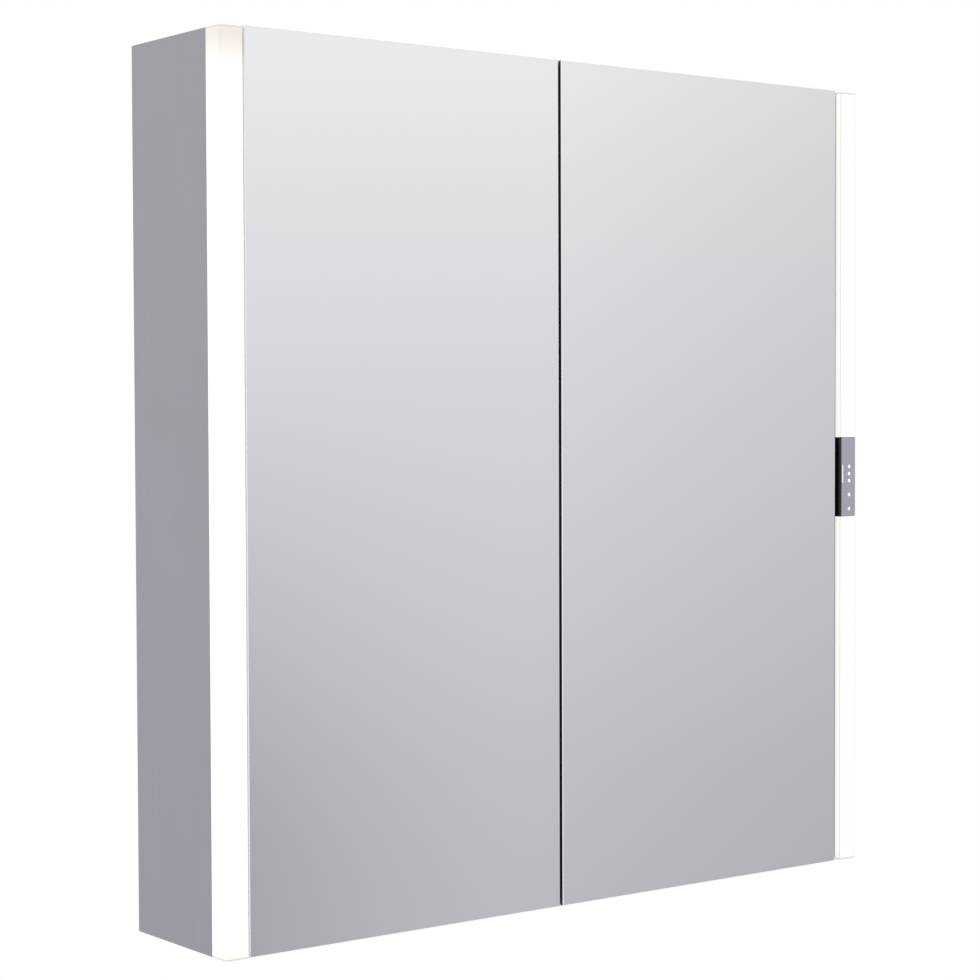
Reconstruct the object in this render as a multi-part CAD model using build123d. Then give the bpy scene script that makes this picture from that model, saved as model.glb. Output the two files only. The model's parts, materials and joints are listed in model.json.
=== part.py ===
"""Wall-hung mirror cabinet with two hinged mirror doors and a vertical light column on each front corner.

Frame: millimetres, +X to the right as seen by a person at the mirror, +Y into the wall, +Z up.
The origin is the centre of the four wall-screw holes, on the wall plane.
"""
from build123d import *
import math
import os

# ---- driving dimensions -------------------------------------------------------------------------
WIDTH = 700.0
HEIGHT = 730.0
DEPTH = 140.0
TOP = 60.0                      # top of the cabinet above the wall screws
COLUMN = 21.0                   # side of the square light column, and thickness of the side walls
DOOR_RECESS = 3.5               # door glass behind the front of the light columns
SIDE_GAP = 3.0                  # door edge to light column
DOOR_GAP = 3.0                  # between the two doors
GLASS_OVER = (0.8, 1.5)         # how far the front glass stands past the cabinet, below and above
PARTITION_X = -9.5              # the doors differ a little in width, and the partition stands behind their gap
PANEL = 18.0                    # thickness of the top and bottom panels
SKIN = 2.0                      # aluminium sheet and extrusion wall
BACK_SPACE = 17.0               # between the wall and the back panel
BACK_PANEL = 3.0
BACK_MIRROR = 3.0
PARTITION = 10.0
STOP_GAP = 3.3                  # door rear to carcass front

# doors
FRONT_GLASS = 4.0
REAR_GLASS = 3.0
DOOR_THICK = 20.0
BORDER = 30.0                   # width of the door's aluminium profiles
REBATE = 6.0                    # how far the rear mirror laps over the profiles
PROFILE_WALL = 2.0

# hinges
PIVOT_IN = 11.0                 # pivot from the door's outer edge
KNUCKLE_R = 2.8
PIVOT_BACK = FRONT_GLASS + 0.3 + KNUCKLE_R   # pivot behind the face of the glass
PIN_R = 1.5
HINGE_FROM_END = 100.0
HINGE_HALF = 18.0               # half the height of a hinge bracket
NOTCH_HALF = 21.0               # half the height of the notch in the stile
NOTCH_IN = 9.0                  # how far the notch reaches past the pivot
LEAF_HALF = 40.0                # half the height of a leaf's flange
KNUCKLE_HALF = 8.8              # half the height of the knuckle

# contents
SHELF_GLASS = 5.0
SHELF_Z = (-500.0, -340.0, -180.0)           # undersides of the glass shelves
SHELF_FRONT, SHELF_REAR = -105.0, -25.0
PIN_Y = (-92.0, -42.0)
PEG_R = 2.5
PEG_STEP = 25.0                 # spare peg holes above and below each shelf

# electrical duct under the top panel
DUCT_DROP = 60.0
DUCT_FRONT = -77.0
SHEET = 1.5
SOCKET_X, SOCKET_Z = 200.0, 12.0
GLAND_X, GLAND_Z = 230.0, 12.0

# control panel in the right light column
CONTROL_Z = -303.8
CONTROL_HALF = 37.8
FACE_EDGE = 2.0                 # black border left of the face plate
DOT_Z = (9.7, 3.0, -3.7, -17.0, -30.4)       # lit dots, from the panel's centre
DOT_R = 1.6
DOT_IN = 8.8                    # dots from the outer side of the column

# wall fixing
HOOK_X = 270.0
HOOK_HOLE_Z = 16.0
HOOK_HOLE_R = 3.2

# ---- derived places -----------------------------------------------------------------------------
HALF = WIDTH / 2
INNER = HALF - COLUMN           # inner face of the side walls and light columns
FRONT = -DEPTH
BOTTOM = TOP - HEIGHT
FACE = FRONT + DOOR_RECESS      # face of the door glass
DOOR_REAR = FACE + DOOR_THICK
CARCASS_FRONT = DOOR_REAR + STOP_GAP
COLUMN_REAR = FRONT + COLUMN
BACK_REAR = -BACK_SPACE
BACK_FRONT = BACK_REAR - BACK_PANEL
MIRROR_FRONT = BACK_FRONT - BACK_MIRROR
CEILING = TOP - PANEL
FLOOR = BOTTOM + PANEL
DUCT_BOTTOM = CEILING - DUCT_DROP
PIVOT_X = INNER - SIDE_GAP - PIVOT_IN
PIVOT_Y = FACE + PIVOT_BACK
HINGE_Z = (TOP - HINGE_FROM_END, BOTTOM + HINGE_FROM_END)
SIDES = ((-1, "left"), (1, "right"))
DOOR_INNER = {-1: PARTITION_X - DOOR_GAP / 2, 1: PARTITION_X + DOOR_GAP / 2}


# ---- small helpers ------------------------------------------------------------------------------
def block(x0, x1, y0, y1, z0, z1):
    """A box between two corners, in any order."""
    size = (abs(x1 - x0), abs(y1 - y0), abs(z1 - z0))
    return Pos((x0 + x1) / 2, (y0 + y1) / 2, (z0 + z1) / 2) * Box(*size)


def rod(axis, radius, start, end, a, b):
    """A cylinder along X, Y or Z from start to end; a and b are its other two coordinates in order."""
    length, middle = abs(end - start), (start + end) / 2
    if axis == "X":
        return Pos(middle, a, b) * Rot(0, 90, 0) * Cylinder(radius, length)
    if axis == "Y":
        return Pos(a, middle, b) * Rot(90, 0, 0) * Cylinder(radius, length)
    return Pos(a, b, middle) * Cylinder(radius, length)


def prism(points, z0, z1):
    """An upright prism on a closed outline of (x, y) points."""
    face = make_face(Polyline(*points, close=True))
    return Pos(0, 0, z0) * extrude(face, z1 - z0)


def upright_edges(solid, x, y):
    """The solid's vertical edges that stand at (x, y)."""
    near = 0.01
    found = solid.edges().filter_by(Axis.Z)
    return [e for e in found if abs(e.center().X - x) < near and abs(e.center().Y - y) < near]


def save(name, *solids):
    """One STEP file for one sub-part, which may be several separate solids."""
    flat = [s for shape in solids for s in shape.solids()]
    export_step(flat[0] if len(flat) == 1 else Compound(children=flat), f"parts/{name}.step")


# ---- carcass ------------------------------------------------------------------------------------
GROMMET_R = 4.5
WIRE_R = 2.0
WIRE_Y, WIRE_Z = -44.0, 22.0
WIRE_IN_WALL = INNER + 7.0      # the wire's X inside the hollow side wall
PORT_R, PORT_WALL_R = 2.0, 4.0  # screw ports run the length of the top and bottom extrusions
TOP_PORTS = (-77.0, -39.0)
BOTTOM_PORTS = (-60.0, -30.0)
TOP_PORT_Z, BOTTOM_PORT_Z = TOP - PANEL / 2, BOTTOM + PANEL / 2
BRACKET_SCREWS = (26.0, 46.0)   # behind the pivot


def screw_places():
    """(y, z) of the screws that hold the side linings to the top and bottom panels."""
    return [(y, TOP_PORT_Z) for y in TOP_PORTS] + [(y, BOTTOM_PORT_Z) for y in BOTTOM_PORTS]


def side_panel(side):
    """Outer side wall: a folded aluminium channel with a front and a rear return."""
    outer, skin_in = side * HALF, side * (HALF - SKIN)
    lining = side * (INNER + SKIN)
    skin = block(outer, skin_in, COLUMN_REAR, 0, BOTTOM, TOP)
    front = block(outer, side * INNER, COLUMN_REAR, COLUMN_REAR + SKIN, BOTTOM, TOP)
    rear = block(outer, lining, -SKIN, 0, BOTTOM, TOP)
    wire = rod("Y", GROMMET_R, COLUMN_REAR - 1, COLUMN_REAR + SKIN + 1, side * WIRE_IN_WALL, WIRE_Z)
    return skin + front + rear - wire


def peg_places():
    """(y, z) of every shelf-peg hole: the one in use and a spare above and below it."""
    steps = (-PEG_STEP, 0, PEG_STEP)
    return [(y, z - PEG_R + s) for z in SHELF_Z for s in steps for y in PIN_Y]


def inner_lining(side):
    """Inner side wall: a flat aluminium sheet with peg, screw and wire holes."""
    x0, x1 = side * INNER, side * (INNER + SKIN)
    sheet = block(x0, x1, COLUMN_REAR + SKIN, 0, BOTTOM, TOP)
    for y, z in peg_places():
        sheet -= rod("X", PEG_R + 0.05, x0, x1, y, z)
    for y, z in screw_places():
        sheet -= rod("X", PORT_R + 0.2, x0, x1, y, z)
    for hinge in HINGE_Z:
        for back in BRACKET_SCREWS:
            sheet -= rod("X", 2.1, x0, x1, PIVOT_Y + back, hinge)
    return sheet - rod("X", GROMMET_R, x0, x1, WIRE_Y, WIRE_Z)


def cut_ports(panel, ports, z):
    """Adds round screw ports along the whole extrusion."""
    for y in ports:
        panel += rod("X", PORT_WALL_R, -INNER, INNER, y, z)
        panel -= rod("X", PORT_R, -INNER, INNER, y, z)
    return panel


def top_panel():
    """Hollow aluminium extrusion with three chambers."""
    panel = block(-INNER, INNER, CARCASS_FRONT, 0, CEILING, TOP)
    walls = (CARCASS_FRONT + SKIN, TOP_PORTS[0] - 1, TOP_PORTS[0] + 1, TOP_PORTS[1] - 1, TOP_PORTS[1] + 1, -SKIN)
    for y0, y1 in zip(walls[0::2], walls[1::2]):
        panel -= block(-INNER, INNER, y0, y1, CEILING + SKIN, TOP - SKIN)
    return cut_ports(panel, TOP_PORTS, TOP_PORT_Z)


GRIP_DEEP, GRIP_HIGH = 16.0, 10.0    # finger space behind the lower edge of the doors


def bottom_panel():
    """Hollow extrusion with a shallower front strip, so that fingers reach behind the doors' lower edges."""
    grip_rear = CARCASS_FRONT + GRIP_DEEP
    strip = block(-INNER, INNER, CARCASS_FRONT, grip_rear, BOTTOM + GRIP_HIGH, FLOOR)
    panel = block(-INNER, INNER, grip_rear, 0, BOTTOM, FLOOR)
    walls = (grip_rear + SKIN, BOTTOM_PORTS[0] - 1, BOTTOM_PORTS[0] + 1, BOTTOM_PORTS[1] - 1, BOTTOM_PORTS[1] + 1,
             -SKIN)
    for y0, y1 in zip(walls[0::2], walls[1::2]):
        panel -= block(-INNER, INNER, y0, y1, BOTTOM + SKIN, FLOOR - SKIN)
    return [strip, cut_ports(panel, BOTTOM_PORTS, BOTTOM_PORT_Z)]


def carcass_screws():
    """Pan-head screws, from inside the hollow side walls into the screw ports."""
    made = []
    for side, _ in SIDES:
        seat = side * (INNER + SKIN)
        for y, z in screw_places():
            shank = rod("X", PORT_R - 0.05, seat, side * (INNER - 18), y, z)
            made.append(shank + rod("X", 3.8, seat, side * (INNER + SKIN + 2.4), y, z))
    return made


def back_panel():
    """Aluminium back with the cable gland's hole."""
    panel = block(-INNER, INNER, BACK_FRONT, BACK_REAR, FLOOR, CEILING)
    return panel - rod("Y", 8.0, BACK_FRONT, BACK_REAR, GLAND_X, GLAND_Z)


def back_mirror(side):
    """Mirror pane on the back of one compartment."""
    inner_edge = PARTITION_X + side * PARTITION / 2
    return block(side * INNER, inner_edge, MIRROR_FRONT, BACK_FRONT, FLOOR, DUCT_BOTTOM)


def centre_partition():
    """Upright between the compartments, notched for the electrical duct, with peg holes from both sides."""
    half = PARTITION / 2
    panel = block(PARTITION_X - half, PARTITION_X + half, CARCASS_FRONT + 1, BACK_FRONT, FLOOR, CEILING)
    panel -= block(PARTITION_X - half, PARTITION_X + half, DUCT_FRONT - SHEET, BACK_FRONT, DUCT_BOTTOM, CEILING)
    for y, z in peg_places():
        for side in (-1, 1):
            face = PARTITION_X + side * half
            panel -= rod("X", PEG_R + 0.05, face, face - side * 4.0, y, z)
    return panel


def partition_seal():
    """Black soft strip on the partition's front edge, which both doors close against."""
    lip = 1.4
    base = block(PARTITION_X - 4.5, PARTITION_X + 4.5, CARCASS_FRONT - 1.4, CARCASS_FRONT + 1, FLOOR, CEILING)
    bulb = block(PARTITION_X - lip, PARTITION_X + lip, DOOR_REAR + 0.2, CARCASS_FRONT - 1.4, FLOOR, CEILING)
    return base + bulb


# ---- shelves ------------------------------------------------------------------------------------
def shelf(side, z):
    """Loose glass shelf with rounded front corners."""
    outer = side * (INNER - 1)
    inner = PARTITION_X + side * (PARTITION / 2 + 1)
    plate = block(outer, inner, SHELF_FRONT, SHELF_REAR, z, z + SHELF_GLASS)
    corners = upright_edges(plate, outer, SHELF_FRONT) + upright_edges(plate, inner, SHELF_FRONT)
    return fillet(corners, 4)


def shelf_pegs():
    """Steel pegs with a collar, four under each shelf."""
    made = []
    for side, _ in SIDES:
        partition_face = PARTITION_X + side * PARTITION / 2
        for z in SHELF_Z:
            for y in PIN_Y:
                for face, way in ((side * INNER, -side), (partition_face, side)):
                    peg = rod("X", PEG_R, face - way * SKIN, face + way * 9, y, z - PEG_R)
                    made.append(peg)
    return made


# ---- light columns ------------------------------------------------------------------------------
CAP = 1.5
OPAL = 2.0                      # wall of the opal cover
RETURN = 6.5                    # how far the cover turns in beside the door
BOARD_W, BOARD_T = 8.0, 1.2
CHIP_STEP = 20.0
CHIP = (2.8, 3.5, 0.8)


def place(side, s, q):
    """(x, y) of a point in a light column: s outwards from its inner face, q back from its front."""
    return side * (INNER + s), FRONT + q


def light_carrier(side):
    """Aluminium corner profile that holds the LED board on its diagonal and carries the opal cover."""
    outline = ((0, RETURN), (OPAL, RETURN), (OPAL, 8), (13, 19), (COLUMN - OPAL, 19), (COLUMN - OPAL, COLUMN),
               (0, COLUMN))
    chamber = ((2, 10.2), (10.8, 19), (2, 19))
    profile = prism([place(side, *p) for p in outline], BOTTOM + CAP, TOP - CAP)
    profile -= prism([place(side, *p) for p in chamber], BOTTOM + CAP, TOP - CAP)
    profile -= rod("Y", WIRE_R + 1, FRONT + 18, COLUMN_REAR, side * WIRE_IN_WALL, WIRE_Z)
    if side == 1:
        low, high = CONTROL_Z - CONTROL_HALF, CONTROL_Z + CONTROL_HALF
        x0, y0 = place(side, -1, 0)
        x1, y1 = place(side, COLUMN, CONTROL_DEEP)
        profile -= block(x0, x1, y0, y1, low, high)
    return profile


def diffuser(side, z0, z1):
    """Opal acrylic cover: outer side, front and a short return beside the door."""
    x_in, y_front = place(side, 0, 0)
    x_out, y_rear = place(side, COLUMN, COLUMN)
    cover = block(x_in, x_out, y_front, y_rear, z0, z1)
    cover = fillet(upright_edges(cover, x_out, y_front), 2.5)
    cover = fillet(upright_edges(cover, x_in, y_front), 1.0)
    hollow_in, hollow_front = place(side, OPAL, OPAL)
    hollow_out, _ = place(side, COLUMN - OPAL, 0)
    hollow = block(hollow_in, hollow_out, hollow_front, y_rear, z0, z1)
    hollow = fillet(upright_edges(hollow, hollow_out, hollow_front), 1.2)
    _, return_end = place(side, 0, RETURN)
    behind = block(x_in, hollow_in, return_end, y_rear, z0, z1)
    return cover - hollow - behind


def on_diagonal(side, lift, z):
    """A location on the carrier's diagonal face, lifted off it, with local X across and local Z outwards."""
    mid_s, mid_q = 7.5 + lift / math.sqrt(2), 13.5 - lift / math.sqrt(2)
    x, y = place(side, mid_s, mid_q)
    across = Vector(side, 1, 0)
    outwards = Vector(side, -1, 0)
    return Plane(origin=(x, y, z), x_dir=across, z_dir=outwards)


def led_board(side, z0, z1):
    """Aluminium-core circuit board on the diagonal of the carrier."""
    plane = on_diagonal(side, BOARD_T / 2, (z0 + z1) / 2)
    return plane * Box(BOARD_W, z1 - z0, BOARD_T)


def led_chips(side, z0, z1):
    """White LED packages along one board."""
    count = int((z1 - z0) // CHIP_STEP)
    first = (z0 + z1) / 2 - (count - 1) * CHIP_STEP / 2
    spots = [first + i * CHIP_STEP for i in range(count)]
    return [on_diagonal(side, BOARD_T + CHIP[2] / 2, z) * Box(*CHIP) for z in spots]


def column_cap(side, z0, z1):
    """Flat end cap with the column's outline."""
    x_in, y_front = place(side, 0, 0)
    x_out, y_rear = place(side, COLUMN, COLUMN)
    cap = block(x_in, x_out, y_front, y_rear, z0, z1)
    cap = fillet(upright_edges(cap, x_out, y_front), 2.5)
    return fillet(upright_edges(cap, x_in, y_front), 1.0)


def wall_cap(side, z0, z1):
    """Plug that closes one end of a hollow side wall."""
    return block(side * (INNER + SKIN), side * (HALF - SKIN), COLUMN_REAR + SKIN, -SKIN, z0, z1)


# ---- control panel ------------------------------------------------------------------------------
CONTROL_DEEP = 14.0
FACE_T = 1.5
BAR_IN = 3.6                    # level bar from the inner side of the column
BAR_HALF = 8.6
BAR_Z = 3.0


def control_housing():
    """Black moulded body that fills the break in the right light column, open at the back."""
    low, high = CONTROL_Z - CONTROL_HALF, CONTROL_Z + CONTROL_HALF
    x_in, y_front = place(1, 0, 0)
    x_out, y_rear = place(1, COLUMN, CONTROL_DEEP)
    body = block(x_in, x_out, y_front, y_rear, low, high)
    body = fillet(upright_edges(body, x_in, y_front), 1.0)
    face_x, _ = place(1, FACE_EDGE, 0)
    body -= block(face_x, x_out, y_front, y_front + FACE_T, low, high)
    body -= block(x_in + 2, x_out - 2, y_front + 4, y_rear, low + 2, high - 2)
    for hole in touch_guides(grow=0.1, deep=5.0):
        body -= hole
    return body


def control_face():
    """Grey mirrored touch plate with openings for the light guides."""
    low, high = CONTROL_Z - CONTROL_HALF, CONTROL_Z + CONTROL_HALF
    x_in, y_front = place(1, FACE_EDGE, 0)
    x_out, _ = place(1, COLUMN, 0)
    plate = block(x_in, x_out, y_front, y_front + FACE_T, low + 0.4, high - 0.4)
    plate = chamfer(upright_edges(plate, x_out, y_front), 0.8)
    for hole in touch_guides(grow=0.05, deep=FACE_T):
        plate -= hole
    return plate


def touch_guides(grow=0.0, deep=4.0):
    """Light guides behind the five touch points and the level bar."""
    x_dot, y_front = place(1, COLUMN - DOT_IN, 0)
    dots = [rod("Y", DOT_R + grow, y_front, y_front + deep, x_dot, CONTROL_Z + z) for z in DOT_Z]
    x_bar, _ = place(1, BAR_IN, 0)
    half_w, mid = 0.5 + grow, CONTROL_Z + BAR_Z
    long = BAR_HALF + grow
    bar = block(x_bar - half_w, x_bar + half_w, y_front, y_front + deep, mid - long, mid + long)
    return dots + [bar]


def control_board():
    """Touch-sensor circuit board inside the housing, behind the light guides."""
    x_in, y_front = place(1, 2.5, 5.0)
    x_out, _ = place(1, COLUMN - 2.5, 0)
    return block(x_in, x_out, y_front, y_front + 1.6, CONTROL_Z - 34, CONTROL_Z + 34)


# ---- electrics in the duct ----------------------------------------------------------------------
DRIVER_X = (-230.0, -70.0)
TERMINAL_X = 235.0
SOCKET_HOLE_R = 22.0
SOCKET_REAR = DUCT_FRONT + 26
MAINS_R = 1.6


def duct_cover():
    """Folded sheet that closes the duct, with the socket's hole."""
    front = block(-INNER, INNER, DUCT_FRONT - SHEET, DUCT_FRONT, DUCT_BOTTOM, CEILING)
    under = block(-INNER, INNER, DUCT_FRONT, BACK_FRONT, DUCT_BOTTOM, DUCT_BOTTOM + SHEET)
    return front + under - rod("Y", SOCKET_HOLE_R, DUCT_FRONT - SHEET, DUCT_FRONT, SOCKET_X, SOCKET_Z)


def shaver_socket():
    """Round shaver outlet: a flange on the duct's face and a cup with two contact holes."""
    flange = rod("Y", 25.5, DUCT_FRONT - SHEET - 2.5, DUCT_FRONT - SHEET, SOCKET_X, SOCKET_Z)
    cup = rod("Y", SOCKET_HOLE_R - 0.2, DUCT_FRONT - SHEET, SOCKET_REAR, SOCKET_X, SOCKET_Z)
    floor = DUCT_FRONT + 12
    recess = rod("Y", 19.5, DUCT_FRONT - SHEET - 2.5, floor, SOCKET_X, SOCKET_Z)
    contacts = [rod("Y", 2.6, floor, floor + 10, SOCKET_X + dx, SOCKET_Z) for dx in (-9.5, 9.5)]
    return flange + cup - recess - contacts[0] - contacts[1]


def led_driver():
    """LED driver: a closed plastic case on the duct's floor with two mounting ears."""
    x0, x1 = DRIVER_X
    z0 = DUCT_BOTTOM + SHEET
    case = block(x0, x1, -72, -30, z0, z0 + 30)
    case = fillet(case.edges().filter_by(Axis.Z), 3)
    return case + block(x0 - 9, x1 + 9, -58, -44, z0, z0 + 3)


def terminal_block():
    """Mains terminal block with three screw clamps, beside the gland."""
    x0, z0 = TERMINAL_X, DUCT_BOTTOM + SHEET
    body = block(x0, x0 + 30, -60, -38, z0, z0 + 16)
    for i in range(3):
        body -= rod("Z", 2.6, z0 + 8, z0 + 16, x0 + 5 + i * 10, -54)
        body -= rod("Z", 2.6, z0 + 8, z0 + 16, x0 + 5 + i * 10, -44)
    return body


GLAND_BORE_R, GLAND_LONG = 4.5, 14.0


def cable_gland():
    """Cable gland through the back panel, with a flange inside and a hexagon outside."""
    inside = rod("Y", 11.0, BACK_FRONT - 3, BACK_FRONT, GLAND_X, GLAND_Z)
    neck = rod("Y", 7.9, BACK_FRONT, BACK_REAR, GLAND_X, GLAND_Z)
    hexagon = Pos(GLAND_X, BACK_REAR, GLAND_Z) * Rot(-90, 0, 0) * extrude(RegularPolygon(11, 6), 8)
    bore = rod("Y", GLAND_BORE_R, BACK_FRONT - 3, BACK_REAR + 8, GLAND_X, GLAND_Z)
    return inside + neck + hexagon - bore


def wire(points, radii, radius):
    """A round lead along straight runs joined by arcs."""
    path = FilletPolyline(*points, radius=radii)
    start, along = Vector(*points[0]), Vector(*points[1]) - Vector(*points[0])
    return sweep(Plane(origin=start, z_dir=along) * Circle(radius), path)


def led_harness(side):
    """Low-voltage lead from the driver through the side lining and forward to the light column."""
    start = DRIVER_X[0] if side == -1 else DRIVER_X[1]
    wall = side * WIRE_IN_WALL
    z_out = DUCT_BOTTOM + SHEET + 15
    points = [(start, WIRE_Y, z_out), (start + side * 30, WIRE_Y, z_out), (start + side * 60, WIRE_Y, WIRE_Z),
              (wall, WIRE_Y, WIRE_Z), (wall, FRONT + 17.5, WIRE_Z)]
    return wire(points, (9, 9, 6), WIRE_R)


def mains_wiring():
    """Leads from the terminal block to the driver and to the back of the shaver socket."""
    x0, z = TERMINAL_X, DUCT_BOTTOM + SHEET + 7.5
    to_driver = rod("X", MAINS_R, DRIVER_X[1], x0, -46, z)
    bend = [(x0, -40, z), (SOCKET_X, -40, z), (SOCKET_X, -40, 6), (SOCKET_X, SOCKET_REAR, 6)]
    return [to_driver, wire(bend, (6, 5.5), MAINS_R)]


def grommets():
    """Rubber rings where the leads pass the linings and the side walls' front returns."""
    made = []
    for side, _ in SIDES:
        x0, x1 = side * INNER, side * (INNER + SKIN)
        ring = rod("X", GROMMET_R - 0.05, x0, x1, WIRE_Y, WIRE_Z)
        made.append(ring - rod("X", WIRE_R + 0.2, x0, x1, WIRE_Y, WIRE_Z))
        y0, y1 = COLUMN_REAR, COLUMN_REAR + SKIN
        ring = rod("Y", GROMMET_R - 0.05, y0, y1, side * WIRE_IN_WALL, WIRE_Z)
        made.append(ring - rod("Y", WIRE_R + 0.2, y0, y1, side * WIRE_IN_WALL, WIRE_Z))
    return made


# ---- wall fixing --------------------------------------------------------------------------------
HOOK_PLATE, HOOK_HALF_W, HOOK_HALF_H = 3.0, 20.0, 28.0
LIP_Y = (-10.0, -7.0)


def wall_hook(side):
    """Steel plate screwed to the wall, with an upturned lip."""
    x0, x1 = side * HOOK_X - HOOK_HALF_W, side * HOOK_X + HOOK_HALF_W
    plate = block(x0, x1, -HOOK_PLATE, 0, -HOOK_HALF_H, HOOK_HALF_H)
    plate = fillet(plate.edges().filter_by(Axis.Y), 4)
    tab = block(x0 + 5, x1 - 5, LIP_Y[0], -HOOK_PLATE, -4, 0)
    lip = block(x0 + 5, x1 - 5, LIP_Y[0], LIP_Y[1], 0, 11)
    hook = plate + tab + lip
    for z in (-HOOK_HOLE_Z, HOOK_HOLE_Z):
        hook -= rod("Y", HOOK_HOLE_R, -HOOK_PLATE, 0, side * HOOK_X, z)
    return hook


def hanger(side):
    """Cast bracket behind the back panel that hooks over the wall hook's lip."""
    x0, x1 = side * HOOK_X - 12, side * HOOK_X + 12
    body = block(x0 - 8, x1 + 8, BACK_REAR, -11, -30, 38)
    claw = block(x0, x1, -11, -3.6, 11, 16) + block(x0, x1, -6.6, -3.6, 1, 11)
    bracket = body + claw
    for z in (-20, 30):
        bracket -= rod("Y", 2.2, BACK_REAR, -11, side * HOOK_X, z)
    return bracket


def wall_spacers():
    """Rubber pads that keep the lower back corners off the wall."""
    return [rod("Y", 10, BACK_REAR, 0, side * HOOK_X, BOTTOM + 60) for side, _ in SIDES]


# ---- doors --------------------------------------------------------------------------------------
def door_frame(side):
    """Two stiles and two rails of an aluminium channel that opens towards the door's core."""
    outer, inner = side * (INNER - SIDE_GAP), DOOR_INNER[side]
    lap = BORDER - REBATE
    y_front, y_step = FACE + FRONT_GLASS, DOOR_REAR - REAR_GLASS
    y0, y1 = y_front + PROFILE_WALL, y_step - PROFILE_WALL
    end = PROFILE_WALL + 1

    def stile(edge, way):
        body = block(edge, edge + way * BORDER, y_front, y_step, BOTTOM, TOP)
        body += block(edge, edge + way * lap, y_step, DOOR_REAR, BOTTOM, TOP)
        return body - block(edge + way * 2.5, edge + way * BORDER, y0, y1, BOTTOM + end, TOP - end)

    def rail(edge, way):
        a, b = outer - side * BORDER, inner + side * BORDER
        body = block(a, b, y_front, y_step, edge, edge + way * BORDER)
        lap_a, lap_b = outer - side * lap, inner + side * lap
        body += block(lap_a, lap_b, y_step, DOOR_REAR, edge, edge + way * lap)
        return body - block(a, b, y0, y1, edge + way * 2.5, edge + way * BORDER)

    hinge_stile = stile(outer, -side)
    hinge_stile = chamfer(upright_edges(hinge_stile, outer, DOOR_REAR), 2.0)
    for z in HINGE_Z:
        hinge_stile -= hinge_space(side, z)
    return [hinge_stile, stile(inner, side), rail(TOP, -1), rail(BOTTOM, 1)]


def at_pivot(side, u0, u1, v0, v1, z0, z1):
    """A box measured from the hinge pivot: u towards the middle of the cabinet, v towards the wall."""
    return block(side * (PIVOT_X - u0), side * (PIVOT_X - u1), PIVOT_Y + v0, PIVOT_Y + v1, z0, z1)


FLANGE = (-7.0, 13.0, 2.0)      # leaf flange: from, to, thickness
LEAF_WEB = (5.5, 8.9)
LEAF_SCREW_U, LEAF_SCREW_Z = 3.0, 31.0


def hinge_space(side, z):
    """Notch for one hinge in the hinge stile, with the leaf's pocket and screw holes."""
    rear = DOOR_THICK - PIVOT_BACK
    glass = FRONT_GLASS - PIVOT_BACK
    space = at_pivot(side, -PIVOT_IN, NOTCH_IN, glass, rear, z - NOTCH_HALF, z + NOTCH_HALF)
    pocket = at_pivot(side, FLANGE[0], FLANGE[1], rear - FLANGE[2], rear, z - LEAF_HALF, z + LEAF_HALF)
    space += pocket
    for dz in (-LEAF_SCREW_Z, LEAF_SCREW_Z):
        x = side * (PIVOT_X - LEAF_SCREW_U)
        space += rod("Y", 1.45, DOOR_REAR - 9, DOOR_REAR, x, z + dz)
    return space


def hinge_leaf(side, z):
    """Door half of a hinge: a flange let into the stile, a web and a knuckle on the pin."""
    rear = DOOR_THICK - PIVOT_BACK
    slack = 0.2
    flange = at_pivot(side, FLANGE[0], FLANGE[1] - slack, rear - FLANGE[2], rear, z - LEAF_HALF + slack,
                      z + LEAF_HALF - slack)
    flange -= at_pivot(side, FLANGE[0], LEAF_WEB[0], rear - FLANGE[2], rear, z - NOTCH_HALF, z + NOTCH_HALF)
    web = at_pivot(side, *LEAF_WEB, -KNUCKLE_R, rear - FLANGE[2], z - NOTCH_HALF + slack, z + NOTCH_HALF - slack)
    arm = at_pivot(side, 0, LEAF_WEB[0], -KNUCKLE_R, 0, z - KNUCKLE_HALF, z + KNUCKLE_HALF)
    knuckle = rod("Z", KNUCKLE_R, z - KNUCKLE_HALF, z + KNUCKLE_HALF, side * PIVOT_X, PIVOT_Y)
    leaf = flange + web + arm + knuckle
    leaf -= rod("Z", PIN_R + 0.05, z - KNUCKLE_HALF, z + KNUCKLE_HALF, side * PIVOT_X, PIVOT_Y)
    for dz in (-LEAF_SCREW_Z, LEAF_SCREW_Z):
        x = side * (PIVOT_X - LEAF_SCREW_U)
        leaf -= rod("Y", 1.6, DOOR_REAR - FLANGE[2], DOOR_REAR, x, z + dz)
    return leaf


def leaf_screws(side):
    """Small screws that hold the hinge leaves to the stile."""
    made = []
    x = side * (PIVOT_X - LEAF_SCREW_U)
    for z in HINGE_Z:
        for dz in (-LEAF_SCREW_Z, LEAF_SCREW_Z):
            shank = rod("Y", 1.4, DOOR_REAR - 8, DOOR_REAR, x, z + dz)
            made.append(shank + rod("Y", 2.7, DOOR_REAR, DOOR_REAR + 0.9, x, z + dz))
    return made


ARM = (0.5, 4.5)                # bracket arm beside the pivot
ARM_BACK = (13.4, 17.4)         # and where it crosses behind the door's edge
PLATE_END = 55.0


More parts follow.
